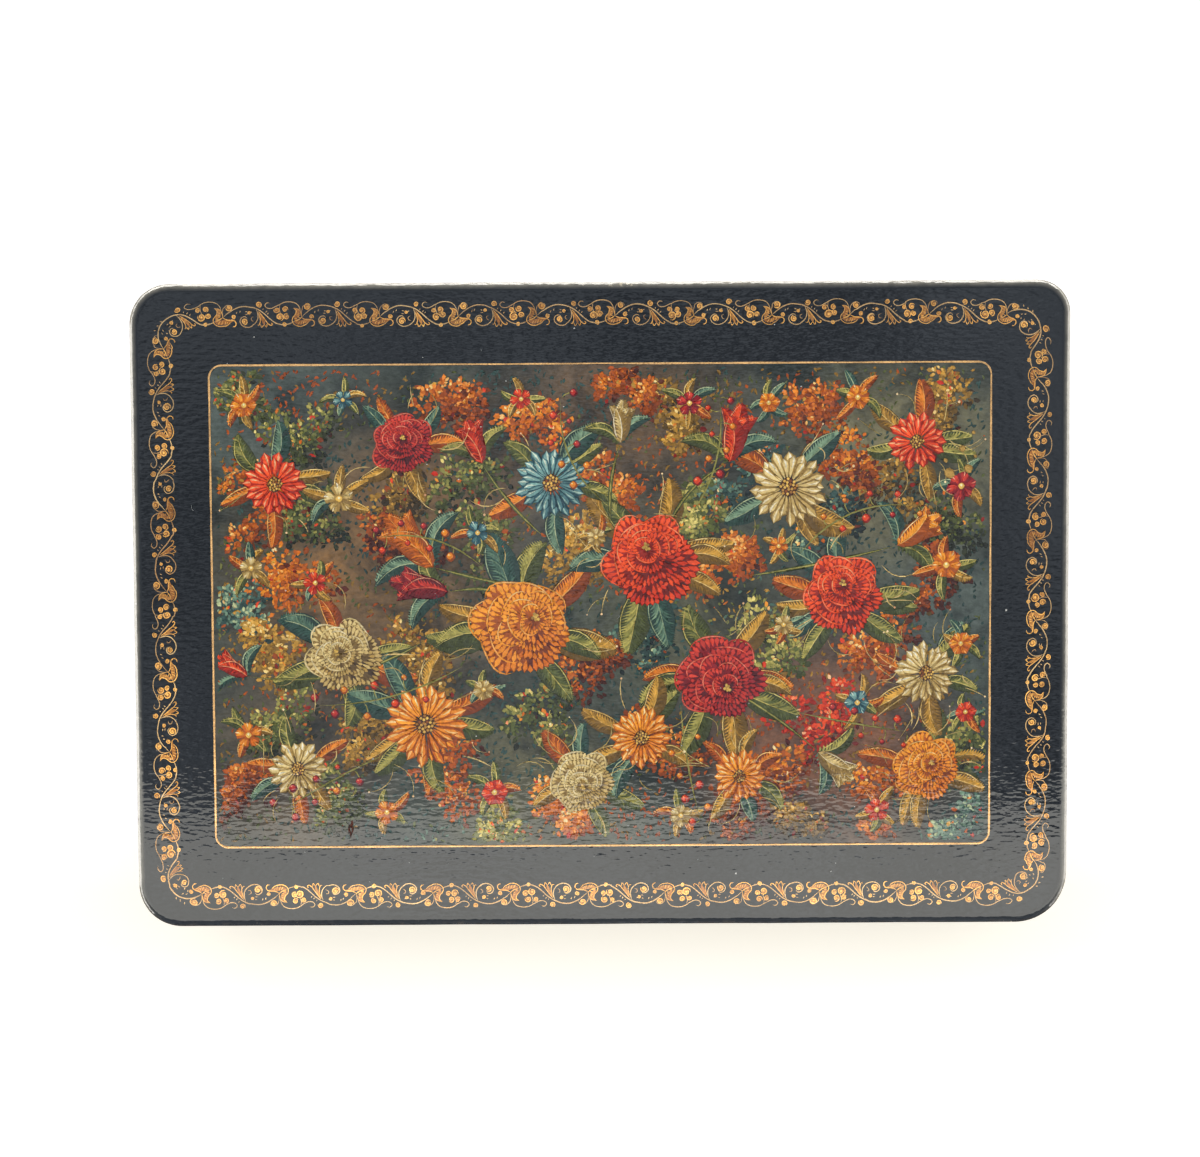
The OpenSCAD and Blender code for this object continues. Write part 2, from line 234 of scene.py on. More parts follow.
# ---------- Hinge ----------
# Two brass leaves with knuckles rolled from the same strip, let into slots in the back wall and
# the lid frame and held by brass cross pins; a drawn steel wire runs through the knuckles.
tarnish_width = 2.5 * mm
drawn_stretch = 0.08
drawn_depth = 0.01 * mm


def worn_metal(name, bright, tarnish, roughness, grain):
    """A metal that is handled: bright where it is rubbed, browner in between, with a fine grain
    along X from drawing or filing."""
    material, tree, shader = new_finish(name, {"Metallic": 1})
    place = add_node(tree, "TexCoord").outputs["Object"]
    patch = add_node(tree, "TexNoise", {
        "Vector": place, "Scale": 1 / tarnish_width, "Detail": 4})
    share = add_node(tree, "MapRange", {
        "interpolation_type": "SMOOTHSTEP", "Value": patch.outputs["Fac"],
        "From Min": 0.35, "From Max": 0.7})
    colour = add_node(tree, "Mix", {
        "data_type": "RGBA", 0: share.outputs[0], 6: linear(bright), 7: linear(tarnish)})
    tree.links.new(colour.outputs[2], shader.inputs["Base Color"])
    rough = add_node(tree, "MapRange", {
        "Value": patch.outputs["Fac"], "To Min": roughness - 0.08, "To Max": roughness + 0.12})
    tree.links.new(rough.outputs[0], shader.inputs["Roughness"])
    drawn = add_node(tree, "Mapping", {"Vector": place, "Scale": (drawn_stretch, 1, 1)})
    lines = add_node(tree, "TexNoise", {
        "Vector": drawn.outputs[0], "Scale": 1 / grain, "Detail": 2})
    bump = add_node(tree, "Bump", {"Height": lines.outputs["Fac"], "Distance": drawn_depth})
    tree.links.new(bump.outputs[0], shader.inputs["Normal"])
    return material


rolled_brass = worn_metal("rolled_brass", 0xC9A45A, 0x8A6A34, 0.32, 0.15 * mm)
pin_brass = worn_metal("drawn_brass_pins", 0xD2AE66, 0x94733A, 0.28, 0.12 * mm)
drawn_steel = worn_metal("drawn_steel_wire", 0xA9ABAD, 0x77736C, 0.3, 0.1 * mm)
for node, metal in (("hinge_leaf_body", rolled_brass), ("hinge_leaf_lid", rolled_brass),
                    ("body_leaf_pins", pin_brass), ("lid_leaf_pins", pin_brass),
                    ("hinge_pin", drawn_steel)):
    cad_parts[node].material_slots[0].material = metal


# ---------- Lid frame ----------
# A wound ring like the walls, glued under the lid board; it comes down over the rim sleeve. Its
# inner face is red, and its outer face and seam are black.
frame_black = 3.4 * mm
black_seam = 0.3 * mm
lid_frame_low, lid_frame_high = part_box("lid_frame")
frame_half_w, frame_half_d = half_inside("lid_frame", frame_black)
red_ring = (frame_half_w, frame_half_d, lid_frame_low.z + black_seam, lid_frame_high.z + red_out)
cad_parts["lid_frame"].material_slots[0].material = black_lacquer(
    "black_oil_lacquer_frame", red_ring)


# ---------- Lid board ----------
# The pressed plate of the lid, its corners rounded and its upper edge sanded to a narrow bevel
# before the lacquer. The edge is a little uneven, rubbed, and chipped at the middle of the back.
# Along its outer line the edge also has a painted pale reflection, left off at the front, where the
# edge lies in shade.
board_low, board_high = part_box("lid_board")
board_corner_r = 8 * mm
shaped_corners = {(-1, 1): 8.2 * mm, (1, 1): 6.6 * mm, (-1, -1): 8.8 * mm, (1, -1): 10.5 * mm}
sanded_bevel = 1.05 * mm
sanded_depth = 0.83 * mm
sanded_soft = 0.7 * mm
arris_soft = 0.08 * mm
arris_z = board_high.z - sanded_depth
board_low_r = 1 * mm
flat_inset = 0.4 * mm
rim_cut_length = 4 * mm
rim_width = 1.9 * mm
hand_unevenness = 0.045 * mm
long_wave = (7.3 * mm, 5.1 * mm)
short_wave = (2.9 * mm, 3.7 * mm)


def lid_plate(name):
    """The plate: a block whose corners were rounded by hand, no two alike, bevelled above and
    softened, and rounded below."""
    mesh = bmesh.new()
    size = board_high - board_low
    bmesh.ops.create_cube(mesh, size=1, matrix=Matrix.LocRotScale(
        (board_high + board_low) / 2, None, size))
    for (side, end), radius in shaped_corners.items():
        upright = [e for e in mesh.edges if abs(e.verts[0].co.z - e.verts[1].co.z) > size.z / 2
                   and all(v.co.x * side > 0.45 * size.x and v.co.y * end > 0.45 * size.y
                           for v in e.verts)]
        bmesh.ops.bevel(mesh, geom=upright, offset=radius, offset_type="OFFSET", segments=20,
                        profile=0.5, affect="EDGES", material=-1)
    for height, radius, segments in ((board_high.z, sanded_bevel, 1), (board_low.z, board_low_r, 5),
                                     (board_high.z, sanded_soft, 7), (arris_z, arris_soft, 2)):
        rim = [e for e in mesh.edges if all(abs(v.co.z - height) < 1e-6 for v in e.verts)]
        bmesh.ops.bevel(mesh, geom=rim, offset=radius, offset_type="OFFSET", segments=segments,
                        profile=0.5, affect="EDGES", material=-1)
        # The sanded bevel is a little wider than it is deep.
        for vert in mesh.verts:
            if abs(vert.co.z - board_high.z + sanded_bevel) < 1e-6:
                vert.co.z = arris_z
    flats = [f for f in mesh.faces if abs(f.normal.z) > 0.999]
    bmesh.ops.inset_individual(mesh, faces=flats, thickness=flat_inset)
    make_rim_uneven(mesh)
    return finished(name, mesh)


def make_rim_uneven(mesh):
    """Cuts the rim into short lengths and pushes them a little in, as a hand sands it."""
    for axis, half in ((0, board_high.x - board_corner_r), (1, board_high.y - board_corner_r)):
        cuts = round(2 * half / rim_cut_length)
        for i in range(cuts + 1):
            place = Vector((0, 0, 0))
            place[axis] = -half + 2 * half * i / cuts
            normal = Vector((0, 0, 0))
            normal[axis] = 1
            around = mesh.verts[:] + mesh.edges[:] + [f for f in mesh.faces
                                                      if abs(f.normal.z) < 0.999]
            bmesh.ops.bisect_plane(mesh, geom=around, dist=1e-6, plane_co=place, plane_no=normal)
    for vert in mesh.verts:
        x, y, _ = vert.co
        if min(board_high.x - abs(x), board_high.y - abs(y)) < rim_width:
            wave = math.sin(x / long_wave[0] + 1.3 * math.sin(y / long_wave[1]))
            ripple = math.sin(x / short_wave[0] - y / short_wave[1])
            out = Vector((x, y, 0)).normalized()
            vert.co -= out * hand_unevenness * (0.6 + 0.5 * wave + 0.35 * ripple)


def finished(name, mesh, smooth=True):
    """Makes the object of a bmesh, shaded smooth, and frees the bmesh."""
    data = bpy.data.meshes.new(name)
    for face in mesh.faces:
        face.smooth = smooth
    mesh.to_mesh(data)
    mesh.free()
    piece = bpy.data.objects.new(name, data)
    bpy.context.collection.objects.link(piece)
    return piece


edge_brown = linear(0x3A332C)
# A pale band on the lid's edge: a painted reflection of the bright room.
edge_painted_reflection = linear(0xCBC4B2)
edge_cream = linear(0xD6CBB0)
edge_from_top = (0.1 * mm, 0.45 * mm)
edge_from_underside = (0.3 * mm, 1.2 * mm)
# One noise gives both the rubbed patches and the unevenness of the painted reflection.
rub_and_reflection_width = 2.2 * mm
chip_width = 1.3 * mm
chip_place = (3 * mm, 65 * mm, 49.6 * mm)
chip_reach = 9 * mm
# Where the painted reflection on the edge fades out, short of the front, where that edge lies in
# shade.
painted_reflection_end_y = -64 * mm
painted_reflection_full_y = -56 * mm


def rub_share(tree, rub_and_reflection_noise, edge):
    """Where the edge is rubbed through the black."""
    worn = add_node(tree, "MapRange", {"Value": rub_and_reflection_noise, "From Min": 0.5, "From Max": 0.68})
    return add_node(tree, "Math", {
        "operation": "MULTIPLY", 0: worn.outputs[0], 1: edge}).outputs[0]


def chip_share(tree, place, edge):
    """Small chips on the edge, most of them round one place in the middle of the back."""
    far = add_node(tree, "VectorMath", {
        "operation": "DISTANCE", 0: place, 1: chip_place}).outputs["Value"]
    spot = add_node(tree, "MapRange", {
        "Value": far, "From Min": chip_reach, "From Max": chip_reach / 3, "To Max": 0.16})
    flaw = add_node(tree, "TexNoise", {
        "Vector": place, "Scale": 1 / chip_width, "Detail": 4, "Roughness": 0.6})
    flaw = add_node(tree, "Math", {
        "operation": "ADD", 0: flaw.outputs["Fac"], 1: spot.outputs[0]})
    chipped = add_node(tree, "MapRange", {
        "Value": flaw.outputs[0], "From Min": 0.7, "From Max": 0.73})
    return add_node(tree, "Math", {
        "operation": "MULTIPLY", 0: chipped.outputs[0], 1: edge}).outputs[0]


def painted_reflection_share(tree, at, rub_and_reflection_noise):
    """The pale band along the edge's outer line, a painted reflection, which ends short of the
    front where the edge lies in shade.
    """
    share = add_node(tree, "MapRange", {
        "Value": rub_and_reflection_noise, "From Min": 0.36, "From Max": 0.56, "To Min": 0.55, "To Max": 0.85}).outputs[0]
    for axis, none, full in (("Z", arris_z - 0.5 * mm, arris_z - 0.1 * mm),
                             ("Z", board_high.z - 0.02 * mm, arris_z + 0.1 * mm),
                             ("Y", painted_reflection_end_y, painted_reflection_full_y)):
        within = add_node(tree, "MapRange", {
            "Value": at.outputs[axis], "From Min": none, "From Max": full})
        share = add_node(tree, "Math", {
            "operation": "MULTIPLY", 0: share, 1: within.outputs[0]}).outputs[0]
    return share


def lid_lacquer(name, red_box):
    """Black oil lacquer on the lid: where the edge is rubbed the brown primer shows, along its
    outer line a pale painted reflection, and in small chips the cream paper below."""
    material, tree, shader = new_finish(name, varnished)
    place = add_node(tree, "TexCoord").outputs["Object"]
    at = add_node(tree, "SeparateXYZ", {"Vector": place})
    below = add_node(tree, "MapRange", {
        "interpolation_type": "SMOOTHSTEP", "Value": at.outputs["Z"],
        "From Min": board_high.z - edge_from_top[0], "From Max": board_high.z - edge_from_top[1]})
    above = add_node(tree, "MapRange", {
        "Value": at.outputs["Z"], "From Min": board_low.z + edge_from_underside[0],
        "From Max": board_low.z + edge_from_underside[1]})
    edge = add_node(tree, "Math", {
        "operation": "MULTIPLY", 0: below.outputs[0], 1: above.outputs[0]}).outputs[0]
    rub_and_reflection_noise = add_node(tree, "TexNoise", {
        "Vector": place, "Scale": 1 / rub_and_reflection_width, "Detail": 5, "Roughness": 0.7}).outputs["Fac"]
    colour = red_inside(tree, place, lacquer_cloudiness(tree, place), red_box)
    for share, paint in ((rub_share(tree, rub_and_reflection_noise, edge), edge_brown),
                         (painted_reflection_share(tree, at, rub_and_reflection_noise), edge_painted_reflection),
                         (chip_share(tree, place, edge), edge_cream)):
        colour = add_node(tree, "Mix", {
            "data_type": "RGBA", 0: share, 6: colour, 7: paint}).outputs[2]
    tree.links.new(dusty(tree, place, colour), shader.inputs["Base Color"])
    brushed_varnish(tree, shader, place)
    return material


lid_board_piece = lid_plate("lid_board_lacquered")
weighted = lid_board_piece.modifiers.new("even_normals", "WEIGHTED_NORMAL")
weighted.keep_sharp = True
red_underside = (frame_half_w, frame_half_d, board_low.z - red_out, board_low.z + red_in)
lid_board_piece.data.materials.append(lid_lacquer("black_oil_lacquer_lid", red_underside))
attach(lid_board_piece, "lid")
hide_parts("lid_board")


# ---------- Gold line ----------
# One line of powdered gold in gum round the painting, drawn with a fine brush along a rule. It
# swells and thins a little with the hand, and has round corners.

def strokes_of_one_paint(name, group, colour, relief, step):
    """The strokes of one colour as tubes along their points, still as high as they are wide."""
    curve = bpy.data.curves.new(name, "CURVE")
    curve.dimensions = "3D"
    curve.twist_mode = "Z_UP"
    curve.bevel_depth = 1
    curve.bevel_resolution = 0
    for points, halves, level in group:
        spline = curve.splines.new("POLY")
        spline.points.add(len(points) - 1)
        height = level * step / relief
        spline.points.foreach_set("co", [c for p in points
                                         for c in (p.real * mm, p.imag * mm, height, 1)])
        spline.points.foreach_set("radius", [h * mm for h in halves])
    holder = bpy.data.objects.new(name, curve)
    part = bpy.data.meshes.new_from_object(holder)
    paint = part.color_attributes.new("paint", "FLOAT_COLOR", "CORNER")
    paint.data.foreach_set("color", list(colour) * len(paint.data))
    bpy.data.objects.remove(holder)
    bpy.data.curves.remove(curve)
    return part


def lay_strokes(name, strokes, surface, relief, step):
    """Brush strokes as one mesh. A stroke is its points, its half widths, its colour, and its level
    in the pile of strokes; relief is its height for its width, and step the height from one level
    to the next. The faces are put in painting order, with a flat map over the lid, so that a bake
    shows the stroke on top."""
    paints = {}
    for points, halves, colour, level in strokes:
        paints.setdefault(colour, []).append((points, halves, level))
    mesh = bmesh.new()
    for colour, group in paints.items():
        part = strokes_of_one_paint(name, group, colour, relief, step)
        mesh.from_mesh(part)
        bpy.data.meshes.remove(part)
    bmesh.ops.remove_doubles(mesh, verts=mesh.verts, dist=1e-8)
    mesh.transform(Matrix.Translation((0, 0, surface)) @ Matrix.Diagonal((1, 1, relief, 1)))
    mesh.faces.sort(key=lambda face: face.calc_center_median().z)
    flat_map = mesh.loops.layers.uv.new("OFBake")
    for face in mesh.faces:
        for loop in face.loops:
            at = loop.vert.co
            loop[flat_map].uv = ((at.x - board_low.x) / (board_high.x - board_low.x),
                                 (at.y - board_low.y) / (board_high.y - board_low.y))
    return finished(name, mesh, smooth=False)


def blend(first, second, share):
    """The colour a share of the way from one hex colour to another, as a linear tuple."""
    return tuple(a + (b - a) * share for a, b in zip(linear(first), linear(second)))


gold_light = 0xF6B65A
gold_pale = 0xDCB87E
gold_rich = 0xF4C27C
gold_deep = 0x7A3F0C
gold_worn = linear(0x5A3008)
powder_width = 0.45 * mm
brushload_length = 5 * mm


def gold_paint(name):
    """Gold powder in gum, laid with a brush and burnished: warm, half metallic, and thin enough in
    places to show brown where the black comes through."""
    material, tree, shader = new_finish(name, {**varnished, "Metallic": 0.6, "Roughness": 0.4})
    place = add_node(tree, "TexCoord").outputs["Object"]
    paint = add_node(tree, "Attribute", {"attribute_name": "paint"}).outputs["Color"]
    powder = add_node(tree, "TexNoise", {"Vector": place, "Scale": 1 / powder_width, "Detail": 3})
    thin = add_node(tree, "MapRange", {
        "Value": powder.outputs["Fac"], "From Min": 0.48, "From Max": 0.74, "To Max": 0.6})
    load = add_node(tree, "TexNoise", {
        "Vector": place, "Scale": 1 / brushload_length, "Detail": 2})
    full = add_node(tree, "MapRange", {
        "Value": load.outputs["Fac"], "From Min": 0.3, "From Max": 0.7,
        "To Min": 0.75, "To Max": 1.3})
    loaded = add_node(tree, "VectorMath", {
        "operation": "SCALE", 0: paint, "Scale": full.outputs[0]})
    colour = add_node(tree, "Mix", {
        "data_type": "RGBA", 0: thin.outputs[0], 6: loaded.outputs[0], 7: gold_worn})
    tree.links.new(colour.outputs[2], shader.inputs["Base Color"])
    brushed_varnish(tree, shader, place)
    return material


lid_top = board_high.z
gold_finish = gold_paint("shell_gold_paint")
line_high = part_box("gold_frame_line")[1]
solid_line_half = 0.2
line_half_w = line_high.x / mm - solid_line_half
line_half_d = line_high.y / mm - solid_line_half
line_corner_r = 2.5
line_half = 0.18
line_side_steps = 24
line_corner_steps = 6
off_true = 0.015
hand = random.Random(11)


def ruled_line():
    """Points round the painting, with round corners, a touch off true as a hand draws them."""
    points = []
    for turn in range(4):
        half_w, half_d = (line_half_w, line_half_d) if turn % 2 == 0 else (line_half_d, line_half_w)
        spin = 1j ** turn
        run = half_d - line_corner_r
        for i in range(line_side_steps):
            up = -run + 2 * run * i / line_side_steps
            points.append(spin * complex(half_w + hand.gauss(0, off_true), up))
        for i in range(line_corner_steps):
            angle = math.pi / 2 * i / line_corner_steps
            out = complex(math.cos(angle), math.sin(angle))
            points.append(spin * (complex(half_w - line_corner_r, run) + line_corner_r * out))
    return points + points[:3]


outline = ruled_line()
side = (len(outline) - 3) // 4
line_strokes = []
for turn in range(4):
    points = outline[turn * side:(turn + 1) * side + 3]
    halves = [0.0] + [line_half * hand.uniform(0.75, 1.2) for _ in points[2:]] + [0.0]
    line_strokes.append((points, halves, blend(gold_deep, gold_rich, 0.68), turn))
gold_line = lay_strokes("gold_line", line_strokes, surface=lid_top + 0.03 * mm, relief=0.12,
                        step=0.002 * mm)
gold_line.data.materials.append(gold_finish)
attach(gold_line, "lid")
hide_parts("gold_frame_line")


# ---------- Gold vine border ----------
# The traditional scroll vine, drawn freehand in shell gold: a wave of stem with a split leaf, a
# cluster of berries, a trumpet flower and a scroll in each repeat. It runs anticlockwise.
vine_inset = 6.5
vine_turn_r = 7.5
vine_repeats = (11, 7)
vine_pitch = 15.9
vine_lead = 1.2
full_turn = 6.28
board_half = (board_high.x / mm, board_high.y / mm)


def smooth_through(points, steps):
    """Points on a smooth curve through the given ones."""
    result = []
    last = len(points) - 1
    for i in range(last):
        a, b, c, d = (points[max(i - 1, 0)], points[i], points[i + 1], points[min(i + 2, last)])
        for k in range(steps):
            s = k / steps
            result.append(b + s / 2 * ((c - a) + s * ((2 * a - 5 * b + 4 * c - d)
                                                      + s * (3 * b - a - 3 * c + d))))
    return result + [points[last]]


def pointed(count, half, full_from=0.25, full_to=0.75):
    """Half widths of a stroke that is pressed in the middle and lifted to a point at both ends."""
    times = [i / (count - 1) for i in range(count)]
    return [half * min(1, t / full_from, (1 - t) / (1 - full_to)) ** 0.7 for t in times]


def on_border(turn, along, inward):
    """The place on the lid of a point at this way along one side's middle line, from the end of
    the corner before it, and this far towards the middle of the lid."""
    half_run, half_far = board_half if turn % 2 == 0 else board_half[::-1]
    run = 2 * (half_run - vine_inset - vine_turn_r)
    straight = min(max(along, 0), run)
    angle = (along - straight) / vine_turn_r
    arm = vine_turn_r - inward
    local = complex(straight + arm * math.sin(angle), vine_turn_r - arm * math.cos(angle))
    return 1j ** turn * (local + complex(-run / 2, vine_inset - half_far))


# Freehand strokes of one repeat: width, how light the gold is, how many strokes lie under it, and
# points along the vine and towards the lid's middle, from the leaf's joint with the stem.
stem_strokes = [
    (0.22, 0.8, 2, [1.6 + 1.1j, 2.6 + 1.6j, 3.8 + 1.85j, 4.8 + 1.7j, 5.8 + 1.2j, 6.8 + 0.4j,
                    7.8 - 0.5j, 8.9 - 1.25j, 10.4 - 1.8j, 12.2 - 1.95j, 13.8 - 1.4j, 15.1 - 0.5j,
                    16.1 + 0.4j]),
    (0.16, 0.7, 2, [0.4 - 0.5j, 0.6 - 1.5j, 1.3 - 2.4j, 2.6 - 2.75j, 3.9 - 2.6j, 5.1 - 1.95j,
                    6.2 - 1.45j, 7.1 - 1.55j, 7.5 - 2.1j, 7.0 - 2.6j, 6.4 - 2.4j]),
    (0.15, 0.6, 2, [0.1 + 0.3j, 0.2 - 0.8j, -0.1 - 1.7j, -0.8 - 2.2j, -1.6 - 2.0j, -1.75 - 1.4j]),
    (0.18, 0.8, 2, [9.3 - 1.4j, 9.0 - 0.5j, 8.95 + 0.5j, 9.4 + 1.4j, 10.3 + 2.05j, 11.3 + 2.2j,
                    12.2 + 1.8j, 12.6 + 1.0j, 12.2 + 0.3j, 11.5 + 0.15j, 11.1 + 0.6j]),
    (0.15, 0.5, 2, [9.7 + 1.1j, 10.2 + 0.9j, 10.3 + 0.4j, 9.8 + 0.2j]),
    (0.15, 0.6, 2, [4.6 - 2.2j, 4.75 - 1.3j, 4.5 - 0.5j, 4.4 + 0.2j]),
]
leaf_strokes = [
    (0.85, 0.22, 0, [-2.0 + 0.9j, -1.1 + 1.0j, 0.0 + 1.3j, 1.0 + 1.45j, 1.8 + 1.2j]),
    (0.70, 0.26, 0, [1.5 + 1.3j, 1.4 + 0.5j, 0.9 - 0.3j, 1.1 - 1.0j, 1.8 - 1.45j]),
    (0.18, 0.9, 2, [-1.75 + 2.15j, -2.3 + 2.0j, -2.5 + 1.45j, -2.15 + 0.95j, -1.5 + 0.85j,
                    -0.7 + 0.8j, 0.2 + 0.4j]),
    (0.18, 0.95, 2, [-1.5 + 1.1j, -0.9 + 1.7j, 0.0 + 2.1j, 0.9 + 2.15j, 1.7 + 1.8j, 2.1 + 1.2j,
                     2.0 + 0.5j, 1.5 - 0.1j, 1.3 - 0.7j, 1.35 - 1.1j, 1.9 - 1.5j]),
    (0.19, 0.75, 2, [0.2 + 0.4j, 0.3 - 0.3j, 0.5 - 0.9j, 1.0 - 1.3j, 1.9 - 1.5j]),
    (0.22, 0.85, 2, [0.0 + 0.2j, 0.6 + 0.7j, 1.2 + 1.0j, 1.7 + 1.1j]),
    (0.14, 0.9, 1, [-0.9 + 0.9j, -0.6 + 1.6j]), (0.14, 0.95, 1, [-0.4 + 0.9j, -0.1 + 1.9j]),
    (0.14, 0.95, 1, [0.1 + 0.9j, 0.5 + 1.95j]), (0.14, 1.0, 1, [0.6 + 1.0j, 1.1 + 1.9j]),
    (0.14, 0.95, 1, [0.5 + 0.5j, 1.2 + 0.2j]), (0.14, 0.9, 1, [0.5 + 0.1j, 1.2 - 0.2j]),
    (0.14, 0.9, 1, [0.6 - 0.4j, 1.1 - 0.6j]), (0.14, 0.95, 1, [0.9 + 0.8j, 1.8 + 0.6j]),
]
flower_strokes = [
    (0.55, 0.24, 0, [8.7 - 0.5j, 8.2 + 0.4j, 7.8 + 1.2j, 7.6 + 1.9j]),
    (0.18, 0.8, 2, [8.9 - 1.0j, 8.2 - 0.1j, 7.5 + 0.8j, 6.9 + 1.6j, 6.3 + 1.95j, 6.0 + 1.7j,
                    6.3 + 1.4j]),
    (0.16, 0.8, 2, [9.0 - 0.9j, 8.6 + 0.2j, 8.45 + 1.1j, 8.75 + 1.9j, 9.1 + 1.8j]),
    (0.16, 0.9, 2, [7.1 + 1.5j, 7.2 + 2.3j, 7.7 + 1.7j]),
    (0.16, 0.9, 2, [7.7 + 1.7j, 8.2 + 2.35j, 8.5 + 1.5j]),
]
tick_strokes = [
    (0.2, 0.75, 0, [7.0 - 0.2j, 6.7 - 0.6j]), (0.2, 0.8, 0, [7.5 - 0.6j, 7.2 - 1.0j]),
    (0.19, 0.7, 0, [8.0 - 1.05j, 7.8 - 1.4j]), (0.19, 0.7, 0, [11.0 - 0.35j, 11.7 - 0.4j]),
    (0.2, 0.75, 0, [11.1 - 0.9j, 11.6 - 0.95j]), (0.21, 0.75, 0, [12.6 - 1.2j, 12.8 - 0.7j]),
    (0.21, 0.8, 0, [13.2 - 0.9j, 13.4 - 0.4j]), (0.22, 0.8, 0, [10.2 - 0.9j, 10.5 - 0.75j]),
    (0.31, 0.8, 0, [13.5 + 0.1j, 14.1 + 0.25j]),
]
# Berries: place, radius and how light they are.
vine_berries = [
    (4.6 + 0.3j, 0.86, 1.0), (3.25 + 0.1j, 0.6, 0.9), (3.65 - 1.15j, 0.64, 0.8),
    (5.2 - 1.05j, 0.55, 0.75), (8.75 - 2.2j, 0.56, 0.8), (11.65 + 1.0j, 0.7, 1.0),
    (-1.0 - 1.65j, 0.72, 0.9), (3.75 + 1.85j, 0.42, 1.0), (13.9 + 0.25j, 0.42, 0.8),
    (10.7 - 0.7j, 0.34, 0.8),
]
corner_ticks = [(0.24, 0.7, 0, [-w - 2.7j, -w - 0.25 - 2.2j]) for w in (2.2, 3.0, 3.8)]
corner_ticks += [(0.24, 0.7, 0, [-w - 0.2j, -w - 0.15 + 0.3j]) for w in (2.9, 3.6)]


def gold_at(light, place, gold):
    """The gold of a stroke: now fuller, now thinner, as the brush empties along the border."""
    full = 0.85 + 0.15 * math.sin(place.real / 9 + 1.7 * math.sin(place.imag / 11))
    return blend(gold_deep, gold, round(8 * min(1, light * full)) / 8)


def vine_repeat(turn, start, stretch, corner):
    """The strokes of one repeat, each a little different, as a hand draws them."""
    drawn = []
    sway = [complex(hand.gauss(0, 0.07), hand.gauss(0, 0.07)) for _ in range(4)]
    strength = hand.uniform(0.78, 1.08)

    def placed(point):
        drift = sway[int(point.real // 5) % 4]
        moved = point + drift * min(1, abs(point.imag) / 2 + 0.3)
        return on_border(turn, start + moved.real * stretch, moved.imag)

    fine = stem_strokes + tick_strokes + (corner_ticks if corner else [])
    for width, light, level, points in fine + leaf_strokes + flower_strokes:
        nudge = complex(hand.gauss(0, 0.05), hand.gauss(0, 0.05))
        loose = nudge if len(points) == 2 else 0
        path = smooth_through([p + loose for p in points], 3 if len(points) > 2 else 2)
        path = [placed(p) for p in path]
        shade = light * strength * hand.uniform(0.85, 1.15)
        widest = width / 2 * hand.uniform(0.85, 1.15)
        early = 0.12 if len(points) > 6 else 0.3
        gold = gold_pale if (width, light, level, points) in fine else gold_light
        drawn.append((path, pointed(len(path), widest, early, 1 - early),
                      gold_at(shade, path[0], gold), level))
    for middle, radius, light in vine_berries:
        middle = middle + complex(hand.gauss(0, 0.08), hand.gauss(0, 0.08))
        radius = radius * hand.uniform(0.85, 1.12)
        first = hand.uniform(0, full_turn)
        curl = [placed(middle + radius * (1 - 0.045 * k) * complex(
            math.cos(first + 0.62 * k), math.sin(first + 0.62 * k))) for k in range(13)]
        drawn.append((curl, pointed(13, 0.11, 0.15, 0.85), gold_at(light, curl[0], gold_light), 2))
        for size, share, level in ((0.72, 0.3, 1), (0.3, 1.1, 3)):
            core = [placed(middle + radius * size * (k / 2 - 1)) for k in range(5)]
            drawn.append((core, [radius * 0.8 * size * s for s in (0, 0.87, 1, 0.87, 0)],
                          gold_at(light * share * strength, curl[0], gold_light), level))
    return drawn


vine_strokes = []
for turn in range(4):
    half_run = board_half[turn % 2] - vine_inset - vine_turn_r
    repeats = vine_repeats[turn % 2]
    unit = (2 * half_run + vine_turn_r * math.pi / 2) / repeats
    for i in range(repeats):
        vine_strokes += vine_repeat(turn, i * unit - vine_lead, unit / vine_pitch, i == 0)
gold_vine = lay_strokes("gold_vine", vine_strokes, surface=lid_top + 0.012 * mm, relief=0.02,
                        step=0.01 * mm)
gold_vine.data.materials.append(gold_finish)
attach(gold_vine, "lid")
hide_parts("gold_vine_border")


# ---------- Painting ground ----------
# The field of the painting: a primed plate with round corners, laid in with thin egg tempera. Dark
# teal and olive smoke, with warm glows where the flowers will stand.

# The glows: place in mm, radius, colour and strength.
glows = [
    (-46 + 8j, 34, 0xB07A38, 0.7), (-64 - 34j, 24, 0x8A6A4A, 0.65), (44 - 30j, 30, 0xB4683A, 0.7),
    (60 + 30j, 26, 0xA09466, 0.8), (4 + 40j, 28, 0x9C6C40, 0.6), (16 + 2j, 26, 0x7E7A58, 0.6),
    (-14 - 38j, 24, 0x847A50, 0.7), (72 + 0j, 18, 0x74827A, 0.6), (-70 + 38j, 22, 0x687670, 0.65),
    (-24 + 30j, 18, 0x9A6A3A, 0.5),
]
ground_dark = linear(0x182220)
ground_teal = linear(0x4A524A)
ground_soot = linear(0x0D1211)
smoke_width = 15 * mm
dab_width = 1.4 * mm
panel_corner_r = 2.3 * mm
panel_low, panel_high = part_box("painted_panel")
panel_half_w, panel_half_d = panel_high.x / mm, panel_high.y / mm


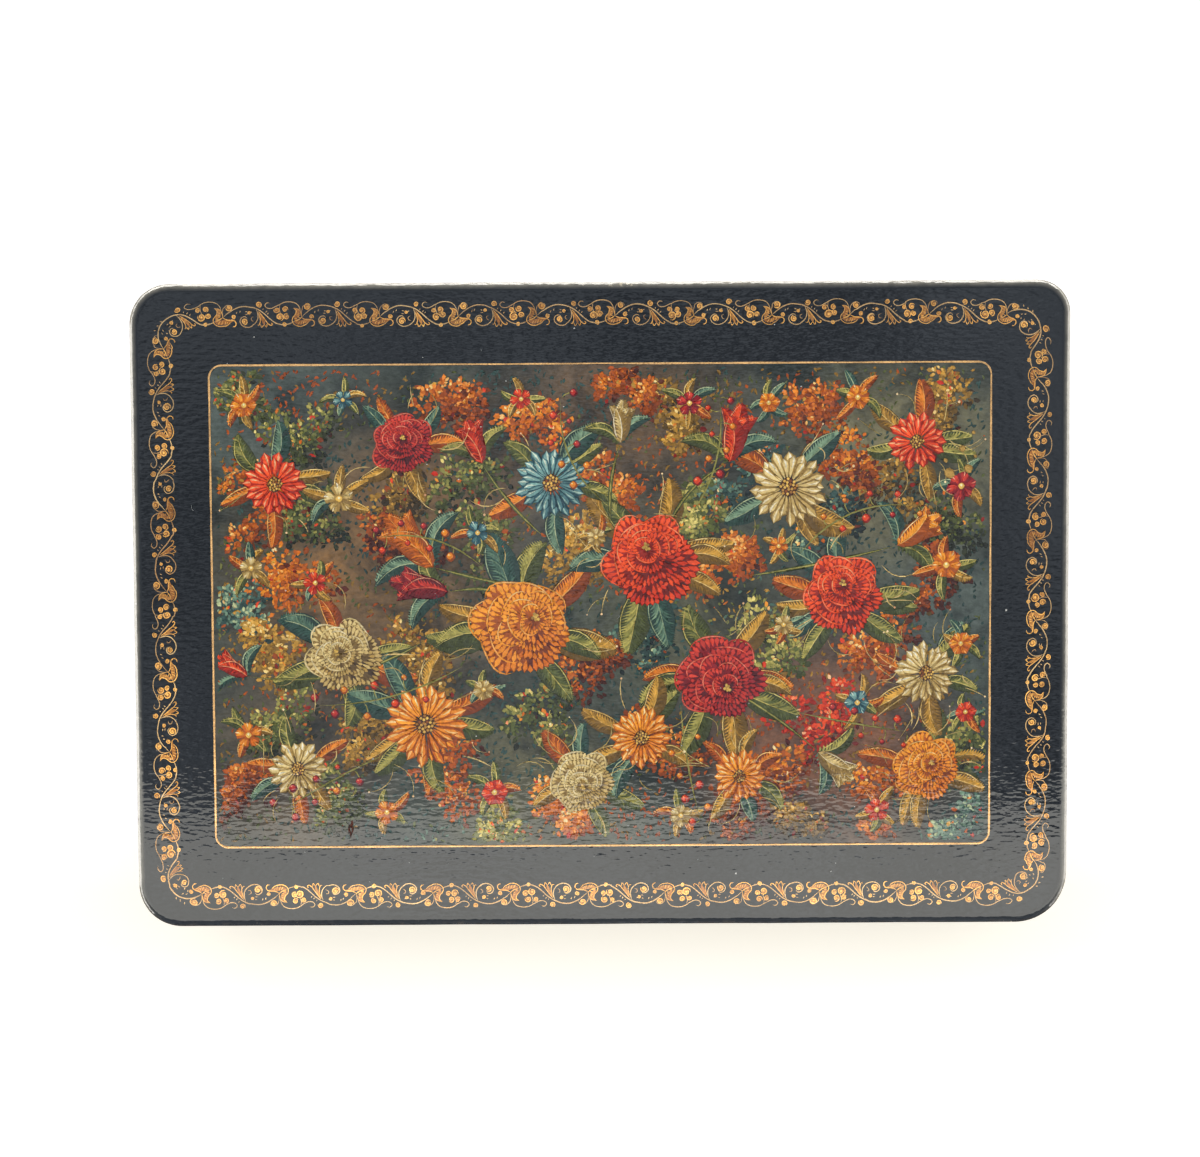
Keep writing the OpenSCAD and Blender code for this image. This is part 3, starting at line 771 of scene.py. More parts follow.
def smoky_ground(name):
    """Tempera dabbed on thinly: smoke between the two dark greens, the glows over it, and the
    mottle that a stubby brush leaves."""
    material, tree, shader = new_finish(name, varnished)
    place = add_node(tree, "TexCoord").outputs["Object"]
    smoke = add_node(tree, "TexNoise", {
        "Vector": place, "Scale": 1 / smoke_width, "Detail": 5, "Roughness": 0.65,
        "Distortion": 0.5}).outputs["Fac"]
    share = add_node(tree, "MapRange", {
        "interpolation_type": "SMOOTHSTEP", "Value": smoke, "From Min": 0.32, "From Max": 0.66})
    colour = add_node(tree, "Mix", {
        "data_type": "RGBA", 0: share.outputs[0], 6: ground_dark, 7: ground_teal}).outputs[2]
    for middle, radius, paint, strength in glows:
        off = add_node(tree, "VectorMath", {
            "operation": "DISTANCE", 0: place,
            1: (middle.real * mm, middle.imag * mm, lid_top)}).outputs["Value"]
        near = add_node(tree, "MapRange", {
            "interpolation_type": "SMOOTHSTEP", "Value": off,
            "From Min": 1.2 * radius * mm, "From Max": 0.1 * radius * mm})
        lit = add_node(tree, "MapRange", {
            "Value": smoke, "From Min": 0.3, "From Max": 0.66, "To Max": strength})
        both = add_node(tree, "Math", {
            "operation": "MULTIPLY", 0: near.outputs[0], 1: lit.outputs[0]})
        colour = add_node(tree, "Mix", {
            "data_type": "RGBA", 0: both.outputs[0], 6: colour, 7: linear(paint)}).outputs[2]
    dabs = add_node(tree, "TexNoise", {
        "Vector": place, "Scale": 1 / dab_width, "Detail": 4, "Roughness": 0.7})
    soot = add_node(tree, "MapRange", {
        "Value": dabs.outputs["Fac"], "From Min": 0.4, "From Max": 0.75, "To Max": 0.5})
    colour = add_node(tree, "Mix", {
        "data_type": "RGBA", 0: soot.outputs[0], 6: colour, 7: ground_soot})
    tree.links.new(colour.outputs[2], shader.inputs["Base Color"])
    brushed_varnish(tree, shader, place)
    return material


def panel_plate(name):
    """The primed field: a thin plate with round corners, a hair proud of the lacquer."""
    mesh = bmesh.new()
    low, high = Vector(panel_low), Vector(panel_high)
    low.z -= 0.05 * mm
    high.z = lid_top + 0.01 * mm
    bmesh.ops.create_cube(mesh, size=1, matrix=Matrix.LocRotScale(
        (low + high) / 2, None, high - low))
    upright = [e for e in mesh.edges if abs(e.verts[0].co.z - e.verts[1].co.z) > 0.05 * mm]
    bmesh.ops.bevel(mesh, geom=upright, offset=panel_corner_r, offset_type="OFFSET", segments=8,
                    profile=0.5, affect="EDGES", material=-1)
    return finished(name, mesh, smooth=False)


panel_ground = panel_plate("painting_ground")
panel_ground.data.materials.append(smoky_ground("tempera_ground"))
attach(panel_ground, "lid")
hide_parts("painted_panel")


# ---------- Undergrowth ----------
# Bushes and grass behind the flowers, dabbed with the tip of a squirrel brush from dark to light:
# egg tempera, opaque and a little uneven in each stroke, under the same clear varnish.
streak_width = 0.6 * mm
# A stroke lies one film higher for each stroke under it, and is itself this share of its width high.
film = 0.0005 * mm
film_relief = 0.0002
paint_z = lid_top + 0.012 * mm


def tempera(name):
    """Egg tempera: matt powdery colour in its own stroke, streaked by the hairs of the brush."""
    material, tree, shader = new_finish(name, varnished)
    place = add_node(tree, "TexCoord").outputs["Object"]
    paint = add_node(tree, "Attribute", {"attribute_name": "paint"}).outputs["Color"]
    streaks = add_node(tree, "TexNoise", {
        "Vector": place, "Scale": 1 / streak_width, "Detail": 3, "Roughness": 0.6})
    shade = add_node(tree, "MapRange", {
        "Value": streaks.outputs["Fac"], "From Min": 0.3, "From Max": 0.7,
        "To Min": 0.88, "To Max": 1.42})
    colour = add_node(tree, "VectorMath", {
        "operation": "SCALE", 0: paint, "Scale": shade.outputs[0]})
    tree.links.new(colour.outputs[0], shader.inputs["Base Color"])
    brushed_varnish(tree, shader, place)
    return material


def lay_paint(name, strokes, finish):
    """A layer of the painting, on the ground plate."""
    layer = lay_strokes(name, strokes, paint_z, film_relief, film)
    layer.data.materials.append(finish)
    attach(layer, "lid")
    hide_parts("painted_panel")


# How the brush is pressed from the start of a stroke, 0, to its end, 1.
presses = {
    "leaf": lambda t: math.sin(math.pi * t) ** 0.75,
    "comma": lambda t: math.sin(math.pi * t ** 0.45) ** 0.85,
    "line": lambda t: min(1, 5 * t, 3 * (1 - t)),
}
# How many strokes lie on each small square of the painting, and the squares along a millimetre.
pile = {}
squares_per_mm = 4
bare_rim = 0.5


def brush(layer, path, widest, colour, press="leaf"):
    """One stroke: it lies on as many strokes as were laid there before."""
    if any(abs(p.real) > panel_half_w - bare_rim or abs(p.imag) > panel_half_d - bare_rim
           for p in path):
        return
    last = len(path) - 1
    halves = [widest / 2 * presses[press](k / last) if 0 < k < last else 0 for k in range(last + 1)]
    covered = set()
    for k in range(last):
        ahead, half = path[k + 1] - path[k], max(halves[k:k + 2])
        steps, sides = int(abs(ahead) * squares_per_mm) + 1, int(half * squares_per_mm) + 1
        across = 1j * ahead / abs(ahead) * half / sides
        for i in range(steps):
            middle = path[k] + ahead * (i + 0.5) / steps
            for j in range(-sides, sides + 1):
                at = squares_per_mm * (middle + across * j)
                covered.add((round(at.real), round(at.imag)))
    level = 1 + max(pile.get(square, 0) for square in covered)
    pile.update((square, level) for square in covered)
    layer.append((path, halves, colour, level))


def bowed(start, end, bow, steps):
    """Points on a line from start to end that bows to its left by this share of its length."""
    times = [k / steps for k in range(steps + 1)]
    return [start + (end - start) * complex(t, 4 * bow * t * (1 - t)) for t in times]


def along(path, share):
    """The point at this share of a path."""
    at = share * (len(path) - 1)
    first = min(int(at), len(path) - 2)
    return path[first] + (path[first + 1] - path[first]) * (at - first)


def tone(first, second, share):
    """A mixed paint: few enough mixes to be made up on a palette."""
    return blend(first, second, round(6 * min(1, max(0, share))) / 6)


def aim(angle, length=1.0):
    """A step of this length in this direction."""
    return length * complex(math.cos(angle), math.sin(angle))


# Paints of one green or flower each: dark, body, light and highest light.
teal_green = (0x111C1B, 0x34504A, 0x7C9C80, 0xCCD29A)
olive_green = (0x1C1F12, 0x5A6230, 0xB4A854, 0xF2DC80)
sea_green = (0x141E1C, 0x36594D, 0x7E9A7A, 0xCCD4A2)
ochre_leaf = (0x33260E, 0x987028, 0xE2A840, 0xFFE294)
autumn_leaf = (0x3E1408, 0xB0500F, 0xF28C28, 0xFFD27C)
vermilion = (0x480A06, 0xC42810, 0xFF5A24, 0xFFC890)
amber = (0x5A1D06, 0xD2680E, 0xFFA42C, 0xFFE8A8)
crimson = (0x300810, 0x921620, 0xDA402E, 0xFAB08C)
cream = (0x43301A, 0xB08C44, 0xEAD08C, 0xFFF6DC)
sea_blue = (0x0E2430, 0x2E5C66, 0x84B0A8, 0xE6F0D8)
accents = (amber, autumn_leaf, ochre_leaf, vermilion)
accent_share = 0.08
light_from = 2.2
stipple_count = 6500
clumps_per_bush = 5
dabs_per_clump = 88
craft = random.Random(1934)

# Bushes: place in mm, radius and paint.
bushes = [
    (-70 + 20j, 8, autumn_leaf), (-58 + 36j, 9, olive_green), (-44 + 24j, 9, ochre_leaf),
    (-30 + 40j, 8, autumn_leaf), (-14 + 36j, 8, amber), (2 + 24j, 9, autumn_leaf),
    (16 + 38j, 8, ochre_leaf), (30 + 26j, 9, teal_green), (44 + 38j, 8, autumn_leaf),
    (58 + 22j, 9, ochre_leaf), (71 + 40j, 7, ochre_leaf), (72 + 16j, 7, olive_green),
    (-73 - 2j, 7, teal_green), (-64 - 22j, 9, olive_green), (-72 - 40j, 7, autumn_leaf),
    (-50 - 40j, 8, olive_green), (-34 - 10j, 9, ochre_leaf), (-30 - 34j, 9, autumn_leaf),
    (-12 - 24j, 8, olive_green), (-8 - 42j, 7, amber), (8 - 8j, 9, teal_green),
    (12 - 30j, 8, autumn_leaf), (28 - 42j, 7, autumn_leaf), (34 - 8j, 9, olive_green),
    (44 - 24j, 9, vermilion), (58 - 10j, 8, autumn_leaf), (58 - 40j, 8, amber),
    (72 - 28j, 8, olive_green), (72 - 44j, 6, teal_green), (-20 + 10j, 9, olive_green),
    (-60 + 6j, 9, amber), (-46 - 28j, 8, ochre_leaf), (-66 - 8j, 7, ochre_leaf),
    (-28 + 24j, 8, olive_green), (-6 + 12j, 8, ochre_leaf), (26 + 8j, 8, autumn_leaf),
    (48 + 14j, 8, teal_green), (66 + 4j, 7, autumn_leaf), (36 - 34j, 8, amber),
    (50 + 30j, 7, amber), (-58 + 18j, 7, olive_green), (-22 - 44j, 7, olive_green),
    (-2 - 12j, 8, autumn_leaf), (20 + 20j, 7, olive_green), (-40 + 14j, 8, autumn_leaf),
    (42 - 44j, 6, ochre_leaf), (-74 + 42j, 6, olive_green), (6 + 44j, 6, autumn_leaf),
]


def mass(at):
    """How light the painting is at this place, from -1 to 1: a few broad masses."""
    return math.sin(at.real / 17 + 1.2 * math.sin(at.imag / 15)) * math.cos(at.imag / 21 - 0.4)


def paint_clump(layer, middle, radius, paints, dabs):
    """A clump of foliage: a dark mass first, then touches that get smaller and lighter towards the
    top left, a few of them in another paint."""
    for k in range(dabs):
        late = k / dabs
        dark, body, light, high = craft.choice(accents) if craft.random() < accent_share else paints
        turn = craft.uniform(0, 2 * math.pi)
        out = math.sqrt(craft.random()) * (1.1 - 0.25 * late)
        ragged = 1 + 0.22 * math.sin(5 * turn + radius) + craft.gauss(0, 0.08)
        at = middle + aim(turn, radius * out * ragged) + aim(light_from, 0.2 * radius * late)
        facing = 0.5 + 0.5 * out * math.cos(turn - light_from)
        lit = facing * (0.25 + 1.15 * late) + 0.26 * mass(at) + craft.gauss(0.06, 0.12)
        paint = tone(dark, body, lit * 2) if lit < 0.5 else tone(body, light, 2 * lit - 1)
        if lit > 1:
            paint = tone(light, high, craft.random())
        length = craft.uniform(0.8, 1.15) * (1.7 - 0.95 * late)
        heading = turn + craft.gauss(0, 0.9)
        brush(layer, bowed(at, at + aim(heading, length), craft.uniform(-0.15, 0.15), 3),
              length * craft.uniform(0.5, 0.75), paint, "leaf")


# The ground is stippled over its whole width, in drifts of one paint that fade into the next.
drifts = (teal_green, olive_green, ochre_leaf, autumn_leaf)
stipple_strokes = []
for _ in range(stipple_count):
    at = complex(craft.uniform(-1, 1) * panel_half_w, craft.uniform(-1, 1) * panel_half_d)
    drift = 1.6 * math.sin(at.real / 15 + 1.4 * math.sin(at.imag / 12)) + 1.1 * math.sin(
        at.imag / 9 - at.real / 23) + craft.gauss(1.3, 0.7)
    dark, body, light, high = drifts[min(3, max(0, int(drift)))]
    glow = 0.52 + 0.38 * mass(at) + craft.gauss(0, 0.1)
    paint = tone(dark, body, 0.35 + 0.8 * glow) if glow < 0.8 else tone(body, light, 2 * glow - 1.5)
    brush(stipple_strokes, bowed(at, at + aim(craft.gauss(1.2, 0.8), craft.uniform(0.7, 1.6)),
                                 craft.uniform(-0.2, 0.2), 3), craft.uniform(0.3, 0.7), paint)
bush_strokes = []
thicket_strokes = []
for number, (middle, radius, paints) in enumerate(bushes):
    layer = bush_strokes if number % 2 else thicket_strokes
    for _ in range(clumps_per_bush):
        part = middle + aim(craft.uniform(0, full_turn), radius * craft.uniform(0.25, 0.85))
        paint_clump(layer, part, radius * craft.uniform(0.34, 0.5), paints, dabs_per_clump)
tempera_paint = tempera("egg_tempera")
lay_paint("painting_stipple", stipple_strokes, tempera_paint)
lay_paint("painting_bushes", bush_strokes, tempera_paint)
lay_paint("painting_thicket", thicket_strokes, tempera_paint)


# ---------- Leaves and stems ----------
# The leaves of the bouquet, egg tempera: a dark body, strokes that fan from the rib with the light
# on one side, a light edge and a fine vein.

def paint_leaf(layer, base, tip, width, paints, bow):
    """A leaf from base to tip."""
    dark, body, light, high = paints
    length = abs(tip - base)
    if length < 1:
        return
    ahead = (tip - base) / length
    rib = bowed(base, tip, bow, 8)
    brush(layer, rib, width, tone(dark, body, 0.25), "leaf")
    ribs = max(5, int(length / 0.6))
    for side in (-1, 1):
        facing = math.cos(math.atan2((1j * side * ahead).imag, (1j * side * ahead).real) - light_from)
        for k in range(ribs):
            share = (k + 0.3) / ribs * 0.92
            root = along(rib, share)
            reach = width / 2 * math.sin(math.pi * min(1, 0.14 + 0.86 * share)) ** 0.75
            end = root + 1j * side * ahead * reach * 0.86 + ahead * reach
            lit = 0.5 + 0.42 * facing + craft.gauss(0, 0.13)
            paint = tone(dark, body, 0.4 + lit) if lit < 0.5 else tone(body, light, 2 * lit - 1)
            brush(layer, bowed(root, end, -0.16 * side, 3), 0.62 * length / ribs + 0.12, paint,
                  "leaf")
        if facing > 0:
            rim = [r + 1j * side * ahead * width * 0.44 * math.sin(math.pi * k / 8) ** 0.8
                   for k, r in enumerate(rib)]
            brush(layer, rim[1:], 0.2, tone(light, high, 0.3 + 0.6 * facing), "line")
    brush(layer, rib, 0.2, tone(light, high, craft.uniform(0.1, 0.7)), "line")


# Where the flowers stand: place in mm, radius and paint; the roses also how far they lean, the
# daisies how many petals, and the bells which way they point and how long they are.
roses = [
    (-16 - 4j, 10.2, 0.3 + 0.2j, amber), (10 + 9j, 9.8, -0.1 + 0.35j, vermilion),
    (24 - 15j, 9, 0.2 - 0.25j, crimson), (49 + 2j, 8.2, 0.35j, vermilion),
    (-52 - 10j, 7.8, -0.3 + 0.1j, cream), (-40 + 33j, 6.2, 0.25j, crimson),
    (66 - 33j, 7, 0.2 + 0.1j, amber), (-4 - 36j, 6.5, -0.2j, cream),
]
daisies = [
    (-36 - 24j, 8.5, 18, amber), (38 + 24j, 8, 16, cream), (-10 + 25j, 7.5, 18, sea_blue),
    (8 - 27j, 6.5, 16, amber), (-66 + 25j, 6.5, 14, vermilion), (66 - 14j, 6.5, 16, cream),
    (-62 - 33j, 6, 14, cream), (64 + 33j, 6, 14, vermilion), (28 - 35j, 5.5, 14, amber),
]
bells = [
    (-34 + 8j, 2.3, 14, amber), (-31 + 3j, 2.95, 12, crimson), (26 + 29j, 1.35, 12, vermilion),
    (44 - 30j, -0.7, 10, cream), (-24 + 29j, 1.9, 10, vermilion), (60 + 12j, 0.6, 11, amber),
    (-72 - 14j, 2.6, 8, vermilion), (4 + 33j, 1.5, 9, cream),
]
sprays = [
    (70 + 8j, 3, amber), (56 - 42j, 2.6, vermilion), (-72 - 26j, 2.8, amber),
    (-53 + 22j, 3.2, cream), (-72 + 41j, 2.6, amber), (-71 + 8j, 2.6, cream),
    (73 + 24j, 3, crimson), (52 + 42j, 2.6, amber), (18 + 41j, 2.6, crimson),
    (-22 - 38j, 2.8, vermilion), (16 - 43j, 2.4, cream), (73 - 8j, 2.4, amber),
    (-44 - 42j, 2.6, amber), (34 + 41j, 2.2, amber), (-16 + 42j, 2.2, vermilion),
    (37 - 4j, 2.2, cream), (-25 + 15j, 2.4, sea_blue), (-1 + 14j, 2.0, cream),
    (-58 + 5j, 2.4, vermilion), (52 - 20j, 2.6, sea_blue), (-24 - 17j, 2.2, cream),
    (-52 + 42j, 2.0, sea_blue), (74 - 22j, 2.2, vermilion), (36 + 12j, 2.0, amber),
]
greens = (olive_green, sea_green, olive_green, ochre_leaf, ochre_leaf, autumn_leaf)
fifth_turn = 1.257
leaf_layer = []
for middle, radius, *_ in roses + daisies:
    count = 9 if radius > 8 else 6
    for k in range(count):
        angle = craft.uniform(0, 1) + k * 2 * math.pi / count
        base = middle + aim(angle, radius * 0.5)
        tip = middle + aim(angle + craft.uniform(-0.3, 0.3), radius * craft.uniform(1.4, 1.8) + 2)
        paint_leaf(leaf_layer, base, tip, abs(tip - base) * craft.uniform(0.34, 0.46),
                   craft.choice(greens), craft.uniform(-0.16, 0.16))
for base, angle, size, _ in bells:
    stem = bowed(base * 0.5, base, craft.uniform(-0.12, 0.12), 8)
    brush(leaf_layer, stem, 0.8, tone(*olive_green[:2], 0.7), "line")
    brush(leaf_layer, stem, 0.25, tone(*olive_green[1:3], 0.9), "line")
    for side in (-1, 1):
        tip = base + aim(angle + side * craft.uniform(0.8, 1.5), size * 0.9)
        paint_leaf(leaf_layer, base, tip, size * 0.3, craft.choice(greens[:3]), -0.2 * side)
for middle, radius, _ in sprays:
    for k in range(5):
        angle = craft.uniform(0, 1) + fifth_turn * k
        tip = middle + aim(angle, radius * craft.uniform(1.7, 2.5))
        paint_leaf(leaf_layer, middle, tip, radius * 0.75, craft.choice(greens),
                   craft.uniform(-0.2, 0.2))
lay_paint("painting_leaves", leaf_layer, tempera_paint)


# ---------- Flowers ----------
# Roses, daisies, bells and small flowers in egg tempera. Each petal is built from its dark root to
# its lit rim in strokes that follow its curl.
pollen_dark, pollen, pollen_light = 0x8A4A14, 0xF0C25A, 0xFFF0B8
seed_dark, seed_brown = 0x2A160A, 0x6B3A12
seed_turn = 2.4


def paint_dot(layer, middle, radius, colour):
    """A round touch of the brush."""
    brush(layer, [middle + radius * (k / 3 - 1) for k in range(7)], 2 * radius, colour, "leaf")


def paint_petal(layer, root, angle, inner, outer, spread, paints, lit):
    """A broad petal: a dark fan, lighter strokes in from its wavy rim, and a turned light edge."""
    dark, body, light, high = paints
    wave = craft.uniform(0, full_turn)
    notch = craft.uniform(0.03, 0.09)
    rim = []
    for k in range(11):
        lean = k / 5 - 1
        reach = outer * (1 - 0.2 * lean * lean + notch * math.sin(wave + 3.4 * lean))
        rim.append(root + aim(angle + spread * lean, reach))
    for k in range(11):
        lean = k / 5 - 1
        start = root + aim(angle + spread * lean * 0.75, inner)
        shade = 0.1 + 0.75 * lit * (1 - 0.5 * abs(lean)) + craft.gauss(0, 0.06)
        brush(layer, bowed(rim[k], start, 0.07 * lean, 4), outer * spread * 0.42,
              tone(dark, body, shade), "comma")
    for k in range(11):
        lean = k / 5 - 1
        depth = craft.uniform(0.3, 0.7)
        end = rim[k] + (root + aim(angle + spread * lean * 0.75, inner) - rim[k]) * depth
        shade = 0.15 + 0.8 * lit + craft.gauss(0, 0.16)
        brush(layer, bowed(rim[k], end, 0.06 * lean, 3), outer * spread * 0.17,
              tone(body, light, shade), "comma")
    if lit > 0.3:
        brush(layer, rim[1:10], 0.42, tone(body, light, 0.5 + 0.5 * lit), "leaf")
        first = craft.choice((1, 2, 3))
        brush(layer, rim[first:first + 6], 0.18, tone(light, high, 0.1 + 0.6 * lit), "leaf")


def paint_rose(layer, middle, radius, lean, paints):
    """A full garden rose, its petals laid ring on ring from the outside in towards a heart that
    leans with the flower."""
    dark, body = paints[:2]
    for k in range(18):
        angle = k * 2 * math.pi / 18
        brush(layer, bowed(middle, middle + aim(angle, radius * 0.86), 0.05, 4), radius * 0.4,
              tone(dark, body, craft.uniform(0, 0.25)), "leaf")
    for share, inner, count in ((1.0, 0.46, 6), (0.82, 0.36, 5), (0.64, 0.26, 5), (0.47, 0.14, 4),
                                (0.3, 0.05, 3)):
        heart = middle + lean * radius * (1 - share)
        first = craft.uniform(0, full_turn)
        order = list(range(count))
        craft.shuffle(order)
        for k in order:
            angle = first + k * 2 * math.pi / count + craft.uniform(-0.12, 0.12)
            lit = min(1, max(0.05, 0.52 + 0.42 * math.cos(angle - light_from)
                             + 0.25 * (0.6 - share) + craft.gauss(0, 0.06)))
            paint_petal(layer, heart, angle, radius * inner,
                        radius * share * craft.uniform(0.94, 1.04),
                        math.pi / count * craft.uniform(1.15, 1.35), paints, lit)
    heart = middle + lean * radius * 0.85
    for k in range(7):
        at = heart + aim(k * seed_turn, radius * 0.03 * math.sqrt(k))
        paint_dot(layer, at, radius * 0.035, tone(dark, pollen, craft.uniform(0.2, 1)))


def paint_daisy(layer, middle, radius, count, paints):
    """A flower of many narrow petals round a seeded middle."""
    dark, body, light, high = paints
    for ring, reach in ((0, 1.0), (1, 0.8)):
        for k in range(count):
            angle = (k + 0.5 * ring) * 2 * math.pi / count + craft.uniform(-0.09, 0.09)
            lit = 0.5 + 0.35 * math.cos(angle - light_from) + 0.12 * ring + craft.gauss(0, 0.08)
            end = middle + aim(angle, radius * reach * craft.uniform(0.88, 1.06))
            start = middle + aim(angle, radius * 0.2)
            broad = 2.3 * radius * reach * math.pi / count * 0.66
            bend = craft.uniform(-0.08, 0.08)
            brush(layer, bowed(end, start, bend, 5), broad, tone(dark, body, 0.2 + 0.8 * lit),
                  "comma")
            brush(layer, bowed(end, start, bend, 5), broad * 0.6, tone(body, light, lit), "comma")
            brush(layer, bowed(end, along([end, start], 0.6), bend + 0.06, 3), broad * 0.22,
                  tone(light, high, lit), "comma")
    paint_dot(layer, middle, radius * 0.25, tone(seed_dark, seed_brown, 0.4))
    for k in range(22):
        at = middle + aim(k * seed_turn, radius * 0.047 * math.sqrt(k))
        paint_dot(layer, at, radius * 0.038, tone(pollen_dark, pollen, craft.uniform(0, 1)))


def paint_bell(layer, base, angle, size, paints):
    """A tulip or a bud: petals that close to a cup, the outer ones in front."""
    for lean, share, broad in ((-0.36, 0.9, 0.34), (0.36, 0.92, 0.34), (0, 1.0, 0.42),
                               (-0.2, 0.84, 0.38), (0.2, 0.8, 0.38)):
        tip = base + aim(angle + lean, size * share * craft.uniform(0.94, 1.05))
        paint_leaf(layer, base, tip, size * broad, paints, -0.5 * lean)


def paint_spray(layer, middle, radius, paints):
    """A small flower of five or six round petals."""
    dark, body, light, high = paints
    count = craft.choice((5, 6))
    first = craft.uniform(0, 1.2)
    for k in range(count):
        angle = first + k * 2 * math.pi / count
        lit = 0.5 + 0.4 * math.cos(angle - light_from)
        end = middle + aim(angle, radius * craft.uniform(0.9, 1.1))
        brush(layer, bowed(end, middle, 0, 4), radius * 0.85, tone(dark, body, 0.5 + 0.4 * lit),
              "comma")
        for side in (-0.2, 0, 0.2):
            tip = middle + aim(angle + side, radius * craft.uniform(0.85, 1.0))
            brush(layer, bowed(tip, along([tip, middle], 0.7), 0.1, 3), radius * 0.22,
                  tone(body, light, lit + craft.gauss(0, 0.2)), "comma")
        brush(layer, bowed(end, along([end, middle], 0.4), 0.1, 3), radius * 0.12,
              tone(light, high, lit), "comma")
    paint_dot(layer, middle, radius * 0.22, tone(pollen_dark, pollen, 0.8))
    paint_dot(layer, middle + radius * 0.06j, radius * 0.09, tone(pollen_dark, pollen_light, 1))


small_layer = []
for middle, radius, paints in sprays:
    paint_spray(small_layer, middle, radius, paints)
for base, angle, size, paints in bells:
    paint_bell(small_layer, base, angle, size, paints)
for middle, radius, count, paints in daisies:
    paint_daisy(small_layer, middle, radius, count, paints)
lay_paint("painting_small_flowers", small_layer, tempera_paint)
rose_layer = []
for middle, radius, lean, paints in sorted(roses, key=lambda rose: rose[1]):
    paint_rose(rose_layer, middle, radius, lean, paints)
lay_paint("painting_roses", rose_layer, tempera_paint)


# ---------- Berries and grass ----------
# Berries on their stems, and fine blades and tendrils over the flowers, the last and lightest
# strokes of the painting.

def paint_berry(layer, middle, radius, paints):
    """A berry: a dark ball, its lit side and a spark of light."""
    dark, body, light, high = paints
    paint_dot(layer, middle, radius, tone(dark, body, 0.35))
    paint_dot(layer, middle + radius * (-0.15 + 0.15j), radius * 0.72, tone(body, light, 0.25))
    paint_dot(layer, middle + radius * (-0.3 + 0.3j), radius * 0.36, tone(body, light, 0.9))
    paint_dot(layer, middle + radius * (-0.38 + 0.4j), radius * 0.15, tone(light, high, 1))


berry_stems = [(-24 + 8j, -46 + 14j), (40 + 10j, 64 + 20j), (16 - 20j, 20 - 44j),
               (-28 - 12j, -58 - 20j), (40 - 22j, 62 - 26j), (2 + 20j, -8 + 42j),
               (-44 - 30j, -66 - 42j), (18 + 18j, 24 + 42j)]
blade_count = 150
blade_dark, blade_light = 0x8A7A3A, 0xF0CE84
bud_dark, bud_light = 0xC25A24, 0xFCE4AC
last_layer = []
for start, end in berry_stems:
    stem = bowed(start, end, craft.uniform(-0.15, 0.15), 10)
    brush(last_layer, stem, 0.35, tone(*olive_green[1:3], 0.5), "line")
    for k in range(3, 11):
        side = 1 if k % 2 else -1
        root = along(stem, k / 10)
        out = root + 1j * side * (end - start) / abs(end - start) * craft.uniform(1.5, 3)
        brush(last_layer, bowed(root, out, 0.15, 3), 0.2, tone(*olive_green[1:3], 0.8), "line")
        paint_berry(last_layer, out, craft.uniform(0.6, 1.0),
                    craft.choice((vermilion, crimson, amber)))
for _ in range(blade_count):
    root = craft.choice(roses + daisies)
    base = root[0] + aim(craft.uniform(0, full_turn), root[1] * craft.uniform(0.9, 1.3))
    heading = math.atan2((base - root[0]).imag, (base - root[0]).real) + craft.gauss(0, 0.6)
    blade = bowed(base, base + aim(heading, craft.uniform(3, 8)), craft.uniform(-0.3, 0.3), 6)
    brush(last_layer, blade, craft.uniform(0.14, 0.26),
          tone(blade_dark, blade_light, craft.uniform(0.2, 1)), "line")
    if craft.random() < 0.5:
        paint_dot(last_layer, blade[-1], craft.uniform(0.15, 0.3),
                  tone(bud_dark, bud_light, craft.random()))
lay_paint("painting_berries", last_layer, tempera_paint)


# ---------- Wear ----------
# Marks of use in the varnish: hair-fine pale scratches and specks, flakes at one corner of the
# painting where the ochre under the paint shows, and an old brown stain low on the left.
crumb_width = 0.35 * mm
crumb_height = 0.03 * mm


def worn_varnish(name):
    """Bare ground or scratched varnish: dull, and mottled as a broken layer is."""
    material, tree, shader = new_finish(name, {"Roughness": 0.7, "Specular IOR Level": 0.3})
    place = add_node(tree, "TexCoord").outputs["Object"]
    paint = add_node(tree, "Attribute", {"attribute_name": "paint"}).outputs["Color"]
    crumbs = add_node(tree, "TexNoise", {
        "Vector": place, "Scale": 1 / crumb_width, "Detail": 3, "Roughness": 0.7})
    shade = add_node(tree, "MapRange", {
        "Value": crumbs.outputs["Fac"], "From Min": 0.3, "From Max": 0.7,
        "To Min": 0.6, "To Max": 1.2})
    colour = add_node(tree, "VectorMath", {
        "operation": "SCALE", 0: paint, "Scale": shade.outputs[0]})
    tree.links.new(colour.outputs[0], shader.inputs["Base Color"])
    bump = add_node(tree, "Bump", {"Height": crumbs.outputs["Fac"], "Distance": crumb_height})
    tree.links.new(bump.outputs[0], shader.inputs["Normal"])
    return material


